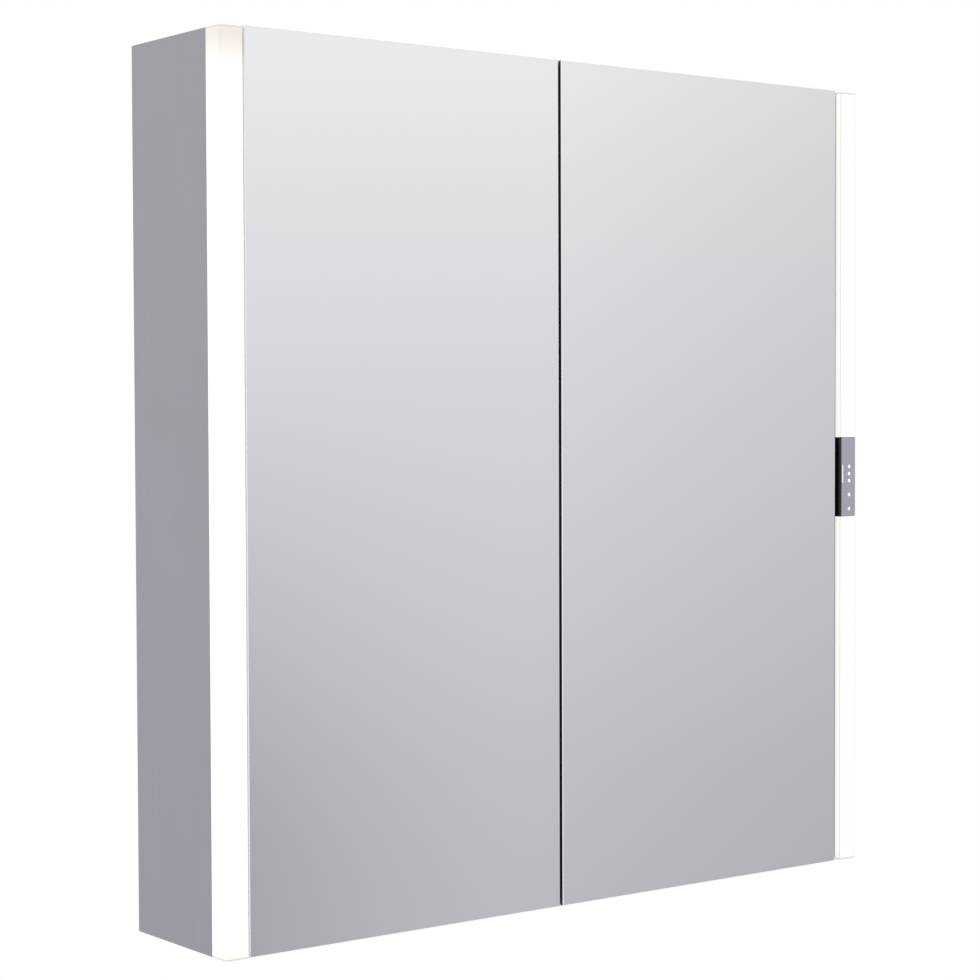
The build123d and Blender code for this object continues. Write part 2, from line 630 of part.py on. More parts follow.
def hinge_bracket(side, z):
    """Carcass half of a hinge: two ears on the pin, an arm round the door's edge and a base plate."""
    low, high = z - HINGE_HALF, z + HINGE_HALF
    wall = SIDE_GAP + PIVOT_IN
    ear = KNUCKLE_HALF + 0.2
    body = at_pivot(side, *ARM, 7, ARM_BACK[1], low, high)
    body += at_pivot(side, -wall, ARM[1], *ARM_BACK, low, high)
    body += at_pivot(side, -wall, -wall + 3, ARM_BACK[0], PLATE_END, low, high)
    for z0, z1 in ((low, z - ear), (z + ear, high)):
        body += at_pivot(side, *ARM, 0, 7, z0, z1)
        body += rod("Z", KNUCKLE_R, z0, z1, side * PIVOT_X, PIVOT_Y)
    body -= rod("Z", PIN_R + 0.02, low, high, side * PIVOT_X, PIVOT_Y)
    for back in BRACKET_SCREWS:
        body -= rod("X", 2.15, side * INNER, side * (INNER - 3), PIVOT_Y + back, z)
    return body


def hinge_pin(side, z):
    """Steel pin with a head at each end, fast in the bracket's ears."""
    low, high = z - HINGE_HALF, z + HINGE_HALF
    pin = rod("Z", PIN_R, low, high, side * PIVOT_X, PIVOT_Y)
    for z0, z1 in ((low - 0.9, low), (high, high + 0.9)):
        pin += rod("Z", 2.4, z0, z1, side * PIVOT_X, PIVOT_Y)
    return pin


def bracket_screws():
    """Screws through the hinge base plates into the side linings."""
    made = []
    for side, _ in SIDES:
        seat = side * (INNER - 3)
        for z in HINGE_Z:
            for back in BRACKET_SCREWS:
                shank = rod("X", 2.0, seat, side * (INNER + SKIN + 5), PIVOT_Y + back, z)
                made.append(shank + rod("X", 3.8, seat, side * (INNER - 5), PIVOT_Y + back, z))
    return made


def door_mirror(side):
    """Front mirror glass with ground edges."""
    low, high = BOTTOM - GLASS_OVER[0], TOP + GLASS_OVER[1]
    glass = block(side * (INNER - SIDE_GAP), DOOR_INNER[side], FACE, FACE + FRONT_GLASS, low, high)
    return chamfer(glass.faces().sort_by(Axis.Y)[0].edges(), 0.6)


def door_core(side):
    """Light core board between the two mirrors."""
    a = side * (INNER - SIDE_GAP - BORDER)
    b = DOOR_INNER[side] + side * BORDER
    return block(a, b, FACE + FRONT_GLASS, DOOR_REAR - REAR_GLASS, BOTTOM + BORDER, TOP - BORDER)


def door_rear_mirror(side):
    """Rear mirror let into the profiles."""
    lap = BORDER - REBATE
    a = side * (INNER - SIDE_GAP - lap)
    b = DOOR_INNER[side] + side * lap
    return block(a, b, DOOR_REAR - REAR_GLASS, DOOR_REAR, BOTTOM + lap, TOP - lap)


CATCH_IN = 34.0                 # catch from the partition's side


def catch_x(side):
    """X of a door's magnetic catch, near the door's free edge."""
    return PARTITION_X + side * CATCH_IN


def magnetic_catch(side):
    """Magnet case under the top panel."""
    x = catch_x(side)
    case = block(x - 14, x + 14, DOOR_REAR + 1.6, CARCASS_FRONT + 15, CEILING - 11, CEILING)
    return fillet(case.edges().filter_by(Axis.Y), 2)


def strike_plate(side):
    """Steel disc on the door that the magnet holds."""
    return rod("Y", 5.2, DOOR_REAR, DOOR_REAR + 1.2, catch_x(side), CEILING - 5.5)


# ---- build --------------------------------------------------------------------------------------
def main():
    os.makedirs("parts", exist_ok=True)
    save("top_panel", top_panel())
    save("bottom_panel", *bottom_panel())
    save("back_panel", back_panel())
    save("centre_partition", centre_partition())
    save("partition_seal", partition_seal())
    for side, word in SIDES:
        save(f"{word}_side_panel", side_panel(side))
        save(f"{word}_inner_lining", inner_lining(side))
        save(f"{word}_back_mirror", back_mirror(side))
        save(f"{word}_light_carrier", light_carrier(side))
        for number, z in enumerate(SHELF_Z, 1):
            save(f"{word}_shelf_{number}", shelf(side, z))
        save(f"{word}_door_mirror", door_mirror(side))
        save(f"{word}_door_frame", *door_frame(side))
        save(f"{word}_door_core", door_core(side))
        save(f"{word}_door_rear_mirror", door_rear_mirror(side))
        save(f"{word}_hinge_leaves", *[hinge_leaf(side, z) for z in HINGE_Z])
        save(f"{word}_leaf_screws", *leaf_screws(side))
        save(f"{word}_strike_plate", strike_plate(side))
    save("shelf_pegs", *shelf_pegs())
    save("carcass_screws", *carcass_screws())

    low, high = BOTTOM + CAP, TOP - CAP
    spans = ((-1, low, high), (1, low, CONTROL_Z - CONTROL_HALF), (1, CONTROL_Z + CONTROL_HALF, high))
    for name, span in zip(("left_diffuser", "right_diffuser_lower", "right_diffuser_upper"), spans):
        save(name, diffuser(*span))
    inset = 6.0
    boards = [(side, z0 + inset, z1 - inset) for side, z0, z1 in spans]
    save("led_boards", *[led_board(*b) for b in boards])
    save("led_chips", *[chip for b in boards for chip in led_chips(*b)])
    ends = [(side, *z) for side, _ in SIDES for z in ((BOTTOM, low), (high, TOP))]
    save("end_caps", *[column_cap(*e) for e in ends], *[wall_cap(*e) for e in ends])

    save("control_housing", control_housing())
    save("control_face", control_face())
    save("touch_light_guides", *touch_guides())
    save("control_board", control_board())

    save("duct_cover", duct_cover())
    save("shaver_socket", shaver_socket())
    save("led_driver", led_driver())
    save("terminal_block", terminal_block())
    save("cable_gland", cable_gland())
    save("led_harness", *[led_harness(side) for side, _ in SIDES])
    save("mains_wiring", *mains_wiring())
    save("grommets", *grommets())

    save("wall_hooks", *[wall_hook(side) for side, _ in SIDES])
    save("hangers", *[hanger(side) for side, _ in SIDES])
    save("wall_spacers", *wall_spacers())
    save("hinge_brackets", *[hinge_bracket(side, z) for side, _ in SIDES for z in HINGE_Z])
    save("hinge_pins", *[hinge_pin(side, z) for side, _ in SIDES for z in HINGE_Z])
    save("bracket_screws", *bracket_screws())
    save("magnetic_catches", *[magnetic_catch(side) for side, _ in SIDES])


main()
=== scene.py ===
# %% [markdown]
# # A lit mirror cabinet, finished in Blender
# The cabinet's real shapes come from its CAD model: every panel, pane, hinge and screw is already there at
# its true size. This lesson gives each of them the finish of the real thing, remakes the few that need finer
# shapes than the CAD holds, and sets up a plain studio round it. Everything is in metres, with +Z up and the
# wall at Y = 0.

# %% Load the CAD model
import json
import math

import bmesh
import bpy
from mathutils import Matrix, Vector


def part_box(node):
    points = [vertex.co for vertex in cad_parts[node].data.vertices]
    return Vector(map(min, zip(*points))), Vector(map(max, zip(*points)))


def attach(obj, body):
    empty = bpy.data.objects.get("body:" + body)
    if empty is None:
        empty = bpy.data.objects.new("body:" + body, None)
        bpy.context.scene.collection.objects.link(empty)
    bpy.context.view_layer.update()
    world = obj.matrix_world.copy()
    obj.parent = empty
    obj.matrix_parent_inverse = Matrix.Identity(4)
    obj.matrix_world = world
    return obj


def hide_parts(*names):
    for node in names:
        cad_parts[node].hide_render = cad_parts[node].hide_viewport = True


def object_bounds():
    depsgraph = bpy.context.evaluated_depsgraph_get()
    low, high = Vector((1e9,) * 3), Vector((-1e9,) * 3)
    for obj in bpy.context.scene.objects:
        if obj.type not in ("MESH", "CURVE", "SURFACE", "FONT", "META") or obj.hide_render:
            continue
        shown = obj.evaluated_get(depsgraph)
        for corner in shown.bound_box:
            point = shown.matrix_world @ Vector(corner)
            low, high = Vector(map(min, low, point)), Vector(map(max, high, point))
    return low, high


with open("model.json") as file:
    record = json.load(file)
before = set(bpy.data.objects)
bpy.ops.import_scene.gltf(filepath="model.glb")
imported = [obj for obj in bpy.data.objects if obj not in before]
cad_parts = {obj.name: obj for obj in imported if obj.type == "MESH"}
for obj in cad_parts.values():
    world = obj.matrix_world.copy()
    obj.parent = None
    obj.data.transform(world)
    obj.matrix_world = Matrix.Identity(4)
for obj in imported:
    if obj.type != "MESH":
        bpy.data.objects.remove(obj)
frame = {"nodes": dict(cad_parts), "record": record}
cad_low, cad_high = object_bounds()
MM = 0.001
scene = bpy.context.scene
print("CAD box in mm:", [round(v / MM, 1) for v in (*cad_low, *cad_high)])

# %% [markdown]
# ## Camera
# A product picture of a cabinet is usually taken with a longish lens, so that its uprights stay nearly
# parallel. The camera stands to the left of the cabinet, level with its upper half, and looks a little down.
# Building the rotation from three directions is clearer than three angles: where it looks, which way is
# right, and which is up.

# %% Camera
YAW, PITCH, ROLL = math.radians(37.252), math.radians(1.977), math.radians(-0.189)
CAMERA_PLACE = Vector((-1.2993, -1.7314, -0.2374))
LENS_MM, SENSOR_MM = 87.1, 36.0

look = Vector((math.sin(YAW) * math.cos(PITCH), math.cos(YAW) * math.cos(PITCH), -math.sin(PITCH)))
level_right = Vector((math.cos(YAW), -math.sin(YAW), 0))
level_up = level_right.cross(look)
right = math.cos(ROLL) * level_right + math.sin(ROLL) * level_up
up = -math.sin(ROLL) * level_right + math.cos(ROLL) * level_up

camera = bpy.data.objects.new("camera", bpy.data.cameras.new("camera"))
camera.data.lens = LENS_MM
camera.data.sensor_width = SENSOR_MM
camera.data.clip_end = 50
camera.matrix_world = Matrix.Translation(CAMERA_PLACE) @ Matrix((right, up, -look)).transposed().to_4x4()
scene.collection.objects.link(camera)
scene.camera = camera
print("camera", tuple(round(v, 3) for v in CAMERA_PLACE), "lens", LENS_MM, "mm")

# %% [markdown]
# ## Colours and nodes
# Paint and plastic colours are known as sRGB hex values, but the renderer works with linear light, so one
# function converts them. Another adds a node: it sets the node's own options, then fills its sockets with
# values or links.

# %% Colour and node helpers
def colour(hex_value, alpha=1.0):
    """Linear RGBA of an sRGB hex colour such as "9c9ba1"."""
    parts = [int(hex_value[i:i + 2], 16) / 255 for i in (0, 2, 4)]
    linear = [p / 12.92 if p <= 0.04045 else ((p + 0.055) / 1.055) ** 2.4 for p in parts]
    return (*linear, alpha)


def add(tree, kind, sockets=None, **options):
    """Adds a node; sockets maps input names or numbers to values or to another node's output."""
    made = tree.nodes.new(kind)
    for name, value in options.items():
        setattr(made, name, value)
    for name, value in (sockets or {}).items():
        if isinstance(value, bpy.types.NodeSocket):
            tree.links.new(value, made.inputs[name])
        else:
            made.inputs[name].default_value = value
    return made


def start_material(name):
    """A new material: (material, its node tree, its surface shader)."""
    made = bpy.data.materials.new(name)
    made.use_nodes = True
    return made, made.node_tree, made.node_tree.nodes["Principled BSDF"]


print("colour check: mid grey", [round(v, 3) for v in colour("808080")])

# %% [markdown]
# ## Two ways to finish a CAD part
# A part whose shape is right keeps its CAD mesh and only gets a better material. A folded, cast or moulded
# part is never quite sharp, though: its edges have a small radius that catches the light. Such a part is
# replaced by a rounded copy on the same body, so nothing moves.

# %% Slots, bodies and new materials
record = frame["record"]
body_of = {node: body for body, nodes in record["behaviour"]["bodies"].items() for node in nodes}


def finish_nodes(material, *names):
    """Gives CAD nodes a material in every slot."""
    for name in names:
        mesh = frame["nodes"][name].data
        mesh.materials.clear()
        mesh.materials.append(material)
    print(material.name, "->", ", ".join(names))


# %% [markdown]
# ## One solid at a time
# A CAD part comes as loose triangles, and it may hold several solids that touch, such as the four
# profiles of a door frame. Merging all its corners at once would weld those together and spoil their joints.
# So the triangles are first sorted into solids: walking along a closed surface, every edge is met twice, once
# in each direction. Then each solid has its corners merged and its flat faces dissolved on its own.

# %% Copies of solids
WELD = 0.002 * MM


def solids_of(name):
    """The face numbers of each solid in a CAD node: a solid is complete when every edge has met its partner."""
    mesh = frame["nodes"][name].data
    waiting, faces, solids = set(), set(), []
    for face in mesh.polygons:
        corners = [tuple(round(c / WELD) for c in mesh.vertices[v].co) for v in face.vertices]
        for start, end in zip(corners, corners[1:] + corners[:1]):
            if (end, start) in waiting:
                waiting.remove((end, start))
            elif start != end:
                waiting.add((start, end))
        faces.add(face.index)
        if not waiting:
            solids.append(faces)
            faces = set()
    return solids


def merged_copy(name, faces):
    """One solid of a CAD node as a bmesh with shared corners and whole flat faces."""
    shape = bmesh.new()
    shape.from_mesh(frame["nodes"][name].data)
    bmesh.ops.delete(shape, geom=[face for face in shape.faces if face.index not in faces], context="FACES")
    bmesh.ops.remove_doubles(shape, verts=shape.verts, dist=WELD)
    bmesh.ops.dissolve_limit(shape, angle_limit=math.radians(1), verts=shape.verts, edges=shape.edges)
    return shape


def join(whole, shape):
    """Adds a finished shape to a bigger one and frees it."""
    part = bpy.data.meshes.new("part")
    shape.to_mesh(part)
    shape.free()
    whole.from_mesh(part)
    bpy.data.meshes.remove(part)


print("solids in a door frame:", len(solids_of("left_door_frame")))

# %% [markdown]
# ## From a shape to a piece
# A rounded edge looks round when its shading turns smoothly, but a wide flat face beside it has to stay flat,
# or it shows a false gradient. So a piece with large flat faces gets its own shading directions: each flat
# face keeps its own, and the round ones meet it there. Other pieces only need a limit angle above which an
# edge is sharp.

# %% Make a piece
TURN_LIMIT = math.radians(35)


def corner_normals(mesh, shape):
    """Flat faces keep their own direction at every corner; round ones lean towards their biggest neighbours."""
    leaning = [sum((f.normal * f.calc_area() for f in v.link_faces),
                   Vector()).normalized() for v in shape.verts]
    return [leaning[v] if face.use_smooth else face.normal for face in mesh.polygons for v in face.vertices]


def make_piece(name, shape, material, body, own_flats=False):
    """Turns a bmesh into a piece on a body; with own_flats, the faces marked smooth are the only round ones."""
    shape.normal_update()
    mesh = bpy.data.meshes.new(name)
    shape.to_mesh(mesh)
    normals = corner_normals(mesh, shape) if own_flats else None
    shape.free()
    mesh.materials.append(material)
    mesh.shade_smooth()
    if own_flats:
        mesh.normals_split_custom_set(normals)
    else:
        mesh.set_sharp_from_angle(angle=TURN_LIMIT)
    piece = bpy.data.objects.new(name, mesh)
    scene.collection.objects.link(piece)
    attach(piece, body)
    return piece


def replace_node(name, shape, material, node, own_flats=False):
    """Makes a piece that stands for a CAD node, on its body."""
    piece = make_piece(name, shape, material, body_of[node], own_flats)
    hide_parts(node)
    return piece


print("the left door frame rides on", body_of["left_door_frame"])

# %% [markdown]
# ## Rounded edges
# The edges to round are those where two flat faces meet at a clear angle. Smaller angles are the facets of a
# curved wall, which is already round. A bevel of two segments is enough for a radius of a few tenths of a
# millimetre.

# %% Round the edges of a part
FACET_MIN = 0.01
SHARP = math.radians(40)


def soften(material, radius, *names):
    """Replaces CAD nodes by copies whose sharp edges are rounded to a radius in millimetres."""
    for name in names:
        whole = bmesh.new()
        for faces in solids_of(name):
            shape = merged_copy(name, faces)
            bends = {e: e.calc_face_angle() for e in shape.edges if len(e.link_faces) == 2}
            for face in shape.faces:
                face.smooth = any(FACET_MIN < bends.get(e, 0) < SHARP for e in face.edges)
            sharp = [e for e, bend in bends.items() if bend > SHARP]
            rounded = bmesh.ops.bevel(shape, geom=sharp, offset=radius * MM, offset_type="OFFSET",
                                      affect="EDGES",
                                      segments=2, profile=0.5, material=-1, clamp_overlap=False)["faces"]
            for face in rounded:
                face.smooth = True
            join(whole, shape)
        replace_node(f"{name}_softened", whole, material, name, own_flats=True)
    print(material.name, "-> rounded by", radius, "mm:", ", ".join(names))


print("edges above", round(math.degrees(SHARP)), "degrees are rounded")

# %% [markdown]
# ## Studio
# The room matters more here than on most objects, because the doors are mirrors: what they show is the room.
# A product studio is bright overhead, darker towards the floor, and falls off a little to both sides. A world
# shader that fades with height and direction gives the mirrors that soft change. The wall of the room beside
# the cabinet is lit more evenly, which is what the satin side panel picks up. The background itself is shown
# plain white. It has two more steps sideways: beyond 38.5 degrees the room loses up to 13% of its light, and
# the low corner nearer than 38 degrees loses up to 23.5%.

# %% World colours by height
scene.view_settings.view_transform = "Standard"
world = bpy.data.worlds.new("studio")
scene.world = world
world.use_nodes = True
sky = world.node_tree
sky.nodes.clear()
direction = add(sky, "ShaderNodeSeparateXYZ", {"Vector": add(sky, "ShaderNodeTexCoord").outputs["Generated"]})


def by_height(stops):
    """A colour that depends on how high the light comes from: 0 is 30 degrees down, 1 is 30 degrees up."""
    height = add(sky, "ShaderNodeMapRange", {"Value": direction.outputs["Z"], "From Min": -0.5,
                                             "From Max": 0.5})
    ramp = add(sky, "ShaderNodeValToRGB", {"Fac": height.outputs["Result"]})
    elements = ramp.color_ramp.elements
    for place, shade in stops:
        stop = elements[0] if place == 0.0 else elements[-1] if place == 1.0 else elements.new(place)
        stop.position, stop.color = place, colour(shade)
    return ramp.outputs["Color"]


front_wall = by_height(((0.0, "bbbabd"), (0.3, "c6c5c9"), (0.35, "cbcace"), (0.4, "d3d2d5"),
                        (0.45, "dad9dd"), (0.5, "e1e0e2"), (0.55, "e8e7e9"), (0.6, "efefef"),
                        (0.65, "f8f8f8"), (1.0, "ffffff")))
side_wall = by_height(((0.0, "ecebee"), (0.35, "f7f7fa"), (0.5, "fdfdff"), (1.0, "ffffff")))
print("the room in front fades from", [round(v, 2) for v in colour("bbbabd")[:3]], "below to 1.0 above")

# %% Fall-off to the sides
FAR_LIGHT = 0.87
CORNER_LOSS = 0.235
turn = add(sky, "ShaderNodeMath", {0: direction.outputs["X"], 1: add(sky, "ShaderNodeMath", {
    0: direction.outputs["Y"], 1: -1.0}, operation="MULTIPLY").outputs[0]}, operation="ARCTAN2").outputs[0]
far = add(sky, "ShaderNodeMapRange", {"Value": turn, "From Min": math.radians(38.5),
                                      "From Max": math.radians(46),
                                      "To Min": 1.0, "To Max": FAR_LIGHT}).outputs["Result"]
near = add(sky, "ShaderNodeMapRange", {"Value": turn, "From Min": math.radians(38),
                                       "From Max": math.radians(31)})
low_part = add(sky, "ShaderNodeMapRange", {"Value": direction.outputs["Z"], "From Min": 0.02,
                                           "From Max": -0.18})
corner = add(sky, "ShaderNodeMath", {0: add(sky, "ShaderNodeMath", {0: near.outputs["Result"], 1: 1.5},
                                            operation="POWER").outputs[0], 1: low_part.outputs["Result"]},
             operation="MULTIPLY").outputs[0]
keep = add(sky, "ShaderNodeMath", {0: corner, 1: -CORNER_LOSS, 2: 1.0}, operation="MULTIPLY_ADD").outputs[0]
front_light = add(sky, "ShaderNodeBackground", {
    "Color": front_wall, "Strength": add(sky, "ShaderNodeMath", {0: far, 1: keep},
                                         operation="MULTIPLY").outputs[0]})
side_light = add(sky, "ShaderNodeBackground", {"Color": side_wall, "Strength": 1.0})
sideways = add(sky, "ShaderNodeMapRange", {"Value": direction.outputs["X"], "From Min": 0.15,
                                           "From Max": -0.2})
room = add(sky, "ShaderNodeMixShader", {0: sideways.outputs["Result"], 1: front_light.outputs["Background"],
                                        2: side_light.outputs["Background"]})
backdrop = add(sky, "ShaderNodeBackground", {"Color": (1, 1, 1, 1), "Strength": 1.0})
seen = add(sky, "ShaderNodeLightPath").outputs["Is Camera Ray"]
mix = add(sky, "ShaderNodeMixShader", {0: seen, 1: room.outputs["Shader"], 2: backdrop.outputs["Background"]})
add(sky, "ShaderNodeOutputWorld", {"Surface": mix.outputs["Shader"]})
print("world nodes:", len(sky.nodes))

# %% [markdown]
# ## Softbox and floor
# One large softbox, high and to the left, gives edges and screws a highlight and a soft shadow; it stands
# where the closed mirrors do not show it. The floor is a plain pale disc well below the cabinet, which hangs
# on a wall.

# %% Softbox
softbox = bpy.data.objects.new("softbox", bpy.data.lights.new("softbox", "AREA"))
softbox.data.shape = "RECTANGLE"
softbox.data.size, softbox.data.size_y = 1.6, 1.0
softbox.data.energy = 12.0
SOFTBOX_PLACE = Vector((-1.3, -2.0, 1.9))
softbox.matrix_world = Matrix.Translation(SOFTBOX_PLACE) @ (
    SOFTBOX_PLACE - (cad_low + cad_high) / 2).to_track_quat("Z", "Y").to_matrix().to_4x4()
scene.collection.objects.link(softbox)
print("softbox", softbox.data.size, "m wide,", softbox.data.energy, "W")

# %% Floor
FLOOR_Z = cad_low.z - 1.2
FLOOR_R = 3.0
floor_mesh = bpy.data.meshes.new("floor")
shape = bmesh.new()
bmesh.ops.create_circle(shape, cap_ends=True, segments=96, radius=FLOOR_R)
bmesh.ops.translate(shape, vec=(0, 0, FLOOR_Z), verts=shape.verts)
shape.to_mesh(floor_mesh)
shape.free()
floor = bpy.data.objects.new("floor", floor_mesh)
scene.collection.objects.link(floor)
floor_paint, tree, shader = start_material("pale_floor_paint_rolled")
mottle = add(tree, "ShaderNodeTexNoise", {"Vector": add(tree, "ShaderNodeTexCoord").outputs["Object"],
                                          "Scale": 3.0})
tone = add(tree, "ShaderNodeMix", {"Factor": mottle.outputs["Fac"], "A": colour("eaeaea"),
                                   "B": colour("eeeeee")}, data_type="RGBA")
tree.links.new(tone.outputs["Result"], shader.inputs["Base Color"])
shader.inputs["Roughness"].default_value = 0.7
floor_mesh.materials.append(floor_paint)
print("floor at", round(FLOOR_Z, 3), "m, radius", FLOOR_R, "m")

# %% [markdown]
# ## Anodised aluminium
# Side walls, panels, linings and door profiles are extruded or rolled aluminium, etched and anodised silver.
# That gives a satin grey metal with fine die lines along its length, and no bright highlights. The lines are
# a noise stretched along the extrusion, and a slow cloud makes the sheet slightly uneven. Real die lines are
# about 0.05 mm apart, too fine to show, so they are drawn about 0.6 mm apart and very faint.

# %% Anodised aluminium
def anodised_aluminium(name, greys, along):
    """Satin anodised metal with die lines along one axis: "X" or "Z"."""
    material, tree, shader = start_material(name)
    place = add(tree, "ShaderNodeTexCoord").outputs["Object"]
    stretch = (8, 1600, 1600) if along == "X" else (1600, 1600, 8)
    lines = add(tree, "ShaderNodeTexNoise", {
        "Vector": add(tree, "ShaderNodeMapping", {"Vector": place, "Scale": stretch}).outputs["Vector"],
        "Scale": 1.0, "Detail": 3.0, "Roughness": 0.6})
    cloud = add(tree, "ShaderNodeTexNoise", {"Vector": place, "Scale": 9.0, "Detail": 2.0})
    tone = add(tree, "ShaderNodeMix", {"Factor": cloud.outputs["Fac"], "A": colour(greys[0]),
                                       "B": colour(greys[1])}, data_type="RGBA")
    lined = add(tree, "ShaderNodeMix", {
        "Factor": add(tree, "ShaderNodeMapRange", {"Value": lines.outputs["Fac"], "From Min": 0.3,
                                                   "From Max": 0.7,
                                                   "To Min": 0.0, "To Max": 0.25}).outputs["Result"],
        "A": tone.outputs["Result"], "B": colour(greys[2])}, data_type="RGBA")
    rough = add(tree, "ShaderNodeMapRange", {"Value": lines.outputs["Fac"], "To Min": 0.34, "To Max": 0.46})
    bump = add(tree, "ShaderNodeBump", {"Height": lines.outputs["Fac"], "Strength": 0.12,
                                        "Distance": 0.05 * MM})
    tree.links.new(lined.outputs["Result"], shader.inputs["Base Color"])
    tree.links.new(rough.outputs["Result"], shader.inputs["Roughness"])
    tree.links.new(bump.outputs["Normal"], shader.inputs["Normal"])
    shader.inputs["Metallic"].default_value = 1.0
    return material


SILVER = ("a09fa5", "a5a3aa", "95949b")
upright_aluminium = anodised_aluminium("anodised_aluminium_extruded_upright", SILVER, "Z")
level_aluminium = anodised_aluminium("anodised_aluminium_extruded_level", SILVER, "X")
finish_nodes(upright_aluminium, "left_inner_lining", "right_inner_lining", "left_light_carrier",
             "right_light_carrier", "back_panel")
soften(upright_aluminium, 0.4, "left_side_panel", "right_side_panel", "centre_partition")
soften(upright_aluminium, 0.3, "left_door_frame", "right_door_frame")
soften(level_aluminium, 0.4, "top_panel", "bottom_panel", "duct_cover")

# %% [markdown]
# ## Mirror glass
# A mirror is a pane of float glass with silver and a protective paint behind it. Its face reflects almost
# everything with a faint cool tint, and so does the narrow polished bevel round it. Its cut edges are ground
# and matt. Every ground edge but the outer uprights is coloured almost black-green, a painted shade for the
# narrow gap where the doors meet. The outer uprights are frosted and pale, so they pick up the glow of the
# light columns beside them. One material does it all: the direction that a face points, on the object itself,
# tells the polished faces from the ground edges, and the distance from the middle tells the outer edges from
# the inner ones. Real float glass is never perfectly flat, so a very slow wave bends the reflection by a trace.

# %% Mirror glass
mirror, tree, shader = start_material("silvered_float_glass_ground_edges")
coordinates = add(tree, "ShaderNodeTexCoord")
facing = add(tree, "ShaderNodeSeparateXYZ", {"Vector": coordinates.outputs["Normal"]})
flat = add(tree, "ShaderNodeMath", {0: add(tree, "ShaderNodeMath", {0: facing.outputs["Y"]},
                                           operation="ABSOLUTE").outputs[0], 1: 0.6}, operation="GREATER_THAN")
grit = add(tree, "ShaderNodeTexNoise", {"Vector": coordinates.outputs["Object"], "Scale": 1800.0,
                                        "Detail": 2.0})
# Painted shade: this dark ground-edge colour stands for the shade in the gap between the doors.
gap_shade_edge = add(tree, "ShaderNodeMix", {"Factor": grit.outputs["Fac"], "A": colour("1f2523"),
                                        "B": colour("39423e")}, data_type="RGBA")
pale_edge = add(tree, "ShaderNodeMix", {"Factor": grit.outputs["Fac"], "A": colour("dfe6e2"),
                                        "B": colour("f4f7f5")}, data_type="RGBA")
across = add(tree, "ShaderNodeSeparateXYZ", {"Vector": coordinates.outputs["Object"]})
from_middle = add(tree, "ShaderNodeMath", {0: across.outputs["X"]}, operation="ABSOLUTE")
outer = add(tree, "ShaderNodeMath", {0: from_middle.outputs[0],
                                     1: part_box("right_door_mirror")[1][0] - 5 * MM}, operation="GREATER_THAN")
ground = add(tree, "ShaderNodeMix", {"Factor": outer.outputs[0], "A": gap_shade_edge.outputs["Result"],
                                     "B": pale_edge.outputs["Result"]}, data_type="RGBA")
tint = add(tree, "ShaderNodeMix", {"Factor": flat.outputs[0], "A": ground.outputs["Result"],
                                   "B": colour("f1f1f4")}, data_type="RGBA")
polish = add(tree, "ShaderNodeMapRange", {"Value": flat.outputs[0], "To Min": 0.4, "To Max": 0.01})
wave = add(tree, "ShaderNodeTexNoise", {"Vector": coordinates.outputs["Object"], "Scale": 5.0, "Detail": 0.0})
bump = add(tree, "ShaderNodeBump", {"Height": wave.outputs["Fac"], "Strength": 0.05, "Distance": 0.1 * MM})
tree.links.new(tint.outputs["Result"], shader.inputs["Base Color"])
tree.links.new(flat.outputs[0], shader.inputs["Metallic"])
tree.links.new(polish.outputs["Result"], shader.inputs["Roughness"])
tree.links.new(bump.outputs["Normal"], shader.inputs["Normal"])
finish_nodes(mirror, "left_door_mirror", "right_door_mirror", "left_door_rear_mirror",
             "right_door_rear_mirror",
             "left_back_mirror", "right_back_mirror")

# %% [markdown]
# ## Shelf glass
# The shelves are clear float glass. Face on it is nearly colourless; at the edges, where the light has
# crossed a long way of glass with a little iron in it, it is green. The arris is ground off, which the small
# bevel gives.

# %% Shelf glass
shelf_glass, tree, shader = start_material("clear_float_glass_ground_arris")
coordinates = add(tree, "ShaderNodeTexCoord")
facing = add(tree, "ShaderNodeSeparateXYZ", {"Vector": coordinates.outputs["Normal"]})
flat = add(tree, "ShaderNodeMath", {0: add(tree, "ShaderNodeMath", {0: facing.outputs["Z"]},
                                           operation="ABSOLUTE").outputs[0], 1: 0.9}, operation="GREATER_THAN")
grit = add(tree, "ShaderNodeTexNoise", {"Vector": coordinates.outputs["Object"], "Scale": 900.0})
green = add(tree, "ShaderNodeMix", {"Factor": grit.outputs["Fac"], "A": colour("7fb39d"),
                                    "B": colour("93c2ae")}, data_type="RGBA")
tint = add(tree, "ShaderNodeMix", {"Factor": flat.outputs[0], "A": green.outputs["Result"],
                                   "B": colour("f2f9f6")}, data_type="RGBA")
polish = add(tree, "ShaderNodeMapRange", {"Value": flat.outputs[0], "To Min": 0.25, "To Max": 0.0})
tree.links.new(tint.outputs["Result"], shader.inputs["Base Color"])
tree.links.new(polish.outputs["Result"], shader.inputs["Roughness"])
shader.inputs["Transmission Weight"].default_value = 1.0
shader.inputs["IOR"].default_value = 1.52
soften(shelf_glass, 0.5, *[f"{side}_shelf_{n}" for side in ("left", "right") for n in (1, 2, 3)])
